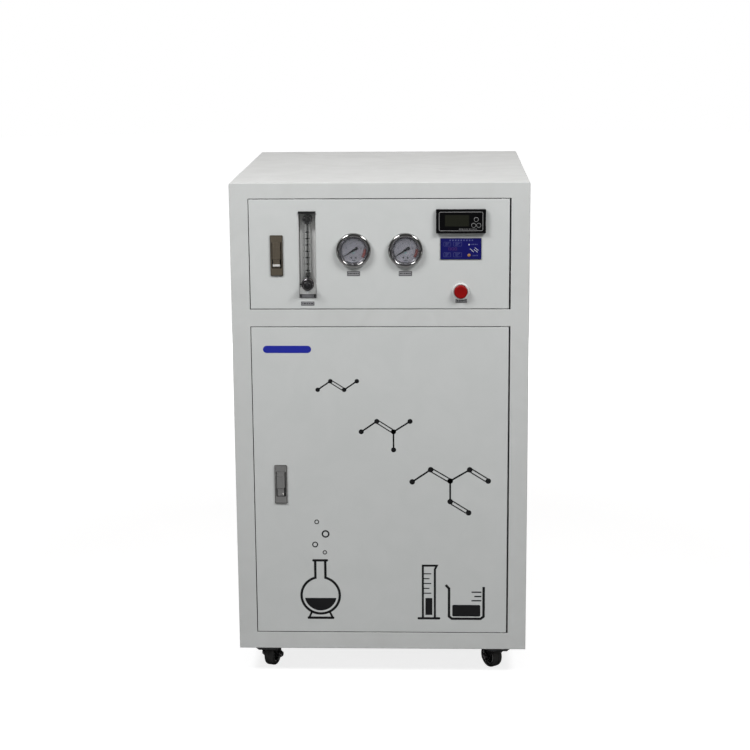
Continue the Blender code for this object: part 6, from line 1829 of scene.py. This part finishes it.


# hoses and wires; their middle points are listed
def plumbing():
    bodies, collets = bmesh.new(), bmesh.new()
    port = headFoot + 0.03
    fit = {node: middleOf(node) for node in fittingColours}
    inlet = {node: Vector((heart.x, back - 0.015, heart.z)) for node, heart in fit.items()}
    sediment, carbon = filterHearts["sediment_bowl"], filterHearts["carbon_bowl"]
    headSide = Vector((0.0665, 0, 0))
    heads = Vector((0, sediment.y, port))
    bends = {
        "sediment": (Vector((sediment.x, 0, 0)) + heads - headSide, toRight, toBack),
        "carbon": (Vector((carbon.x, 0, 0)) + heads + headSide, toLeft, toFloor),
        "pumpIn": (pumpPort - Vector((0.06, 0, 0)), toRight, toTop),
        "pumpOut": (pumpPort + Vector((0.06, 0, 0)), toLeft, toTop),
        "vesselIn": (Vector((-vesselEnd.x - 0.006, vesselEnd.y, vesselEnd.z)), toRight, toBack),
        "vesselOut": (Vector((vesselEnd.x + 0.006, vesselEnd.y, vesselEnd.z)), toLeft, toBack),
        "vesselDrain": (Vector((vesselEnd.x - 0.009, vesselEnd.y, vesselEnd.z - 0.029)), toLeft, toBack),
        "columnIn": (columnPort + Vector((0.039, 0, 0)), toLeft, toTop),
        "columnOut": (columnPort - Vector((0.039, 0, 0)), toRight, toBack),
    }
    ends = {name: addElbow(bodies, collets, *facts)[1] for name, facts in bends.items()}
    addPiece("hoseElbows", bodies, "rimWhite", "cabinet", crease=40)
    addPiece("hoseCollets", collets, "hoseBlue", "cabinet")
    behind, far = back - 0.038, back - 0.024
    r = insideLook["hose"]
    gapY = back - 0.03
    feed = fit["feed_inlet"]
    routes = {
        "feedHose": ("hoseBlue", [
            inlet["feed_inlet"], (feed.x, behind, feed.z), (0.15, behind, 0.436), (-0.06, behind, 0.47),
            (-0.25, behind, 0.52), (-0.279, behind, 0.6), (-0.2785, behind - 0.006, 0.66),
            ends["sediment"]]),
        "filteredHose": ("hoseWhite", [
            ends["carbon"], (0.0135, 0.2, 0.6), (0.02, 0.178, 0.46), (0.01, 0.15, 0.3),
            (-0.001, 0.1345, 0.2), ends["pumpIn"]]),
        "pressureHose": ("hoseWhite", [
            ends["pumpOut"], (0.121, 0.14, 0.24), (0.112, 0.21, 0.48), (0.092, gapY, 0.66),
            (0.084, gapY, 0.757), (0.06, gapY, 0.822), (-0.06, gapY, 0.856), (-0.2, gapY, 0.85),
            (-0.256, gapY - 0.008, 0.832), ends["vesselIn"]]),
        "pureHose": ("hoseWhite", [
            ends["vesselOut"], (0.262, 0.28, 0.822), (0.262, gapY, 0.78), (0.26, gapY, 0.74),
            (0.2475, 0.24, 0.7), ends["columnIn"]]),
        "productHose": ("hoseWhite", [
            ends["columnOut"], (0.166, 0.262, 0.64), (0.168, behind, 0.58), (0.176, behind, 0.46),
            (0.192, behind - 0.002, 0.385), (0.1995, behind + 0.004, 0.361), inlet["product_outlet"]]),
        "drainHose": ("hoseWhite", [
            ends["vesselDrain"], (0.246, 0.27, 0.792), (0.232, far, 0.76), (0.226, far, 0.7),
            (0.23, far, 0.5), (0.226, far, 0.36), (0.212, behind, 0.3),
            (0.2005, behind + 0.006, 0.29), inlet["drain_outlet"]]),
    }
    for name, (finish, points) in routes.items():
        addHose(name, points, r, finish, "cabinet")


# lane and bend give x and z along the back panel, shelf and turn give x and y on the shelf
wiringLook = {
    "pitch": 0.0055, "laneIn": 0.026, "step": 0.01143,
    "mainsWire": {
        "lane": ((-0.135, 0.26), (-0.13, 0.5), (-0.128, 0.757)), "bend": (-0.124, 0.778),
        "shelf": ((-0.119, 0.24), (-0.118, 0.06), (-0.118, -0.02)), "turn": (-0.135, -0.05), "end": -0.048,
    },
    "pumpWire": {
        "lane": ((-0.05, 0.3), (-0.098, 0.6), (-0.102, 0.757)), "bend": (-0.103, 0.778),
        "shelf": ((-0.104, 0.24), (-0.104, 0.06), (-0.104, -0.03)), "turn": (-0.125, -0.06), "end": -0.056,
    },
}


def wiring():
    r = insideLook["wire"]
    mains = middleOf("power_inlet")
    lane = back - wiringLook["laneIn"]
    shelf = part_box("mid_shelf")[1].z + r + 0.0006
    step = toRight * wiringLook["step"]
    ends = [supplyScrew + step * place for place in range(6)]
    for place, finish in enumerate(("wireRed", "wireBlack")):
        side = wiringLook["pitch"] * place
        fromInlet = [(mains.x - 0.006 + side * 2, lane, mains.z),
                     (mains.x + side, lane - 0.01, mains.z + 0.02)]
        fromPump = [(pumpPort.x - 0.006 + side * 2, back - 0.047, pumpPort.z + 0.004),
                    (pumpPort.x - 0.01 + side, lane, pumpPort.z + 0.03)]
        for name, start, last in (("mainsWire", fromInlet, ends[5 - place]),
                                  ("pumpWire", fromPump, ends[3 - place])):
            look = wiringLook[name]
            points = start + [(x + side, lane, z) for x, z in look["lane"]]
            points += [(look["bend"][0] + side, lane - 0.012, look["bend"][1])]
            points += [(x + side, y, shelf) for x, y in look["shelf"]]
            points += [(look["turn"][0] + side, look["turn"][1], shelf + 0.001),
                       (last.x, look["end"], shelf + 0.004), last]
            addHose(f"{name}{place + 1}", points, r, finish, "cabinet")
    ties = bmesh.new()
    for x, z in ((-0.1275, 0.42), (-0.1265, 0.6)):
        addBox(ties, (x - 0.0045, lane - 0.0034, z), (x + 0.01, lane + 0.0034, z + 0.004), 0.0014)
    addPiece("cableTies", ties, "rimWhite", "cabinet")


plumbing()
wiring()
print("hoses and wires ready")


# floor, world, lamps and camera
stageLook = {"floorReach": 14.0, "floorEdges": 96, "floorTone": (0.4, 0.4, 0.4),
             "floorShade": (0.37, 0.37, 0.37), "floorRough": 0.9, "floorShine": 0.1, "glowFrom": 1.0,
             "glowTo": 3.0, "nearGlow": 0.82, "farGlow": 1.0, "ambient": 0.1, "behindFrom": 0.3,
             "behindTo": 0.6}
lamps = {
    "keyLeft": dict(place=(-1.45, -1.75, 2.7), aim=(0, -0.2, 0.75), size=(1.15, 0.6), power=51),
    "keyRight": dict(place=(1.55, -1.75, 2.7), aim=(0, -0.2, 0.75), size=(1.15, 0.6), power=49),
    "overhead": dict(place=(0.05, 0.45, 3.3), aim=(0.05, 0.1, 1.0), size=(1.0, 1.0), power=2,
                     colour=(1, 0.6, 0.4)),
    "rearFill": dict(place=(0.4, 3.4, 0.5), aim=(0, 0, 0.5), size=(2.2, 0.7), power=34),
    "lowLeft": dict(place=(-1.7, -2.2, 0.3), aim=(0, -0.3, 0.9), size=(0.42, 0.24), power=1.1),
    "lowRight": dict(place=(1.7, -2.2, 0.3), aim=(0, -0.3, 0.9), size=(0.42, 0.24), power=1.1),
}
cameraLook = {"place": (0.1204, -3.8453, 1.4202), "down": 0.2162, "turn": 0.0374, "roll": -0.0076,
              "lens": 85.0, "sensor": 36}


def whiteSeen(tree, path, behind):
    # 1 for camera and transmission rays, and for glossy rays that meet what lies behind the object
    seen = addNode(tree, "Math", {0: path["Is Camera Ray"], 1: path["Is Transmission Ray"]},
                   operation="MAXIMUM").outputs[0]
    glossy = times(tree, path["Is Glossy Ray"], behind)
    return addNode(tree, "Math", {0: seen, 1: glossy}, operation="MAXIMUM").outputs[0]


def makeStage():
    bpy.ops.mesh.primitive_circle_add(vertices=stageLook["floorEdges"], radius=stageLook["floorReach"],
                                      fill_type="NGON")
    floor = bpy.context.object
    floor.name = "floor"
    finish = bpy.data.materials.new("floorPale")
    finish.use_nodes = True
    tree = finish.node_tree
    shader = tree.nodes["Principled BSDF"].inputs
    grain = addNode(tree, "TexNoise", {"Vector": objectPlace(tree), "Scale": 3, "Detail": 5}).outputs[0]
    tint = blendColours(tree, grain, stageLook["floorTone"], stageLook["floorShade"])
    tree.links.new(tint, shader["Base Color"])
    shader["Roughness"].default_value = stageLook["floorRough"]
    shader["Specular IOR Level"].default_value = stageLook["floorShine"]
    shader["Emission Color"].default_value = (1, 1, 1, 1)
    path = addNode(tree, "LightPath").outputs
    place = objectPlace(tree)
    depth = addNode(tree, "SeparateXYZ", {0: place}).outputs[1]
    away = addNode(tree, "VectorMath", {0: place}, operation="LENGTH").outputs["Value"]
    glow = remap(tree, away, stageLook["nearGlow"], stageLook["farGlow"], stageLook["glowFrom"],
                 stageLook["glowTo"])
    seen = whiteSeen(tree, path, remap(tree, depth, 0, 1, stageLook["behindFrom"], stageLook["behindTo"]))
    tree.links.new(times(tree, seen, glow), shader["Emission Strength"])
    floor.data.materials.append(finish)


def makeWorld():
    # white behind the object, a dimmer room on the camera's side
    world = bpy.data.worlds.new("studio")
    bpy.context.scene.world = world
    world.use_nodes = True
    tree = world.node_tree
    sky = tree.nodes["Background"].inputs
    way = addNode(tree, "TexCoord").outputs["Generated"]
    depth = addNode(tree, "SeparateXYZ", {0: way}).outputs[1]
    behind = remap(tree, depth, 0, 1, stageLook["behindFrom"], stageLook["behindTo"])
    path = addNode(tree, "LightPath").outputs
    tree.links.new(remap(tree, whiteSeen(tree, path, behind), stageLook["ambient"], 1.0), sky["Strength"])
    sky["Color"].default_value = (1, 1, 1, 1)


def makeLamps():
    for name, look in lamps.items():
        lamp = bpy.data.lights.new(name, "AREA")
        lamp.shape, lamp.energy, lamp.color = "RECTANGLE", look["power"], look.get("colour", (1, 1, 1))
        lamp.size, lamp.size_y = look["size"]
        holder = bpy.data.objects.new(name, lamp)
        bpy.context.scene.collection.objects.link(holder)
        holder.location = look["place"]
        holder.visible_camera = False
        holder.visible_glossy = name != "rearFill"  # it stands low behind, and would glare along the sides
        aim = Vector(look["aim"]) - Vector(look["place"])
        holder.rotation_euler = aim.to_track_quat("-Z", "Y").to_euler()


def makeCamera():
    turn, down, roll = cameraLook["turn"], cameraLook["down"], cameraLook["roll"]
    ahead = Vector((-math.sin(turn) * math.cos(down), math.cos(turn) * math.cos(down), -math.sin(down)))
    level = Vector((math.cos(turn), math.sin(turn), 0))
    rise = level.cross(ahead)
    right = level * math.cos(roll) + rise * math.sin(roll)
    up = rise * math.cos(roll) - level * math.sin(roll)
    camera = bpy.data.cameras.new("camera")
    camera.lens, camera.sensor_width = cameraLook["lens"], cameraLook["sensor"]
    holder = bpy.data.objects.new("camera", camera)
    bpy.context.scene.collection.objects.link(holder)
    axes = Matrix((right, up, -ahead)).transposed().to_4x4()
    holder.matrix_world = Matrix.Translation(cameraLook["place"]) @ axes
    bpy.context.scene.camera = holder


makeStage()
makeWorld()
makeLamps()
makeCamera()
bpy.context.scene.view_settings.view_transform = "Standard"
print("stage ready")
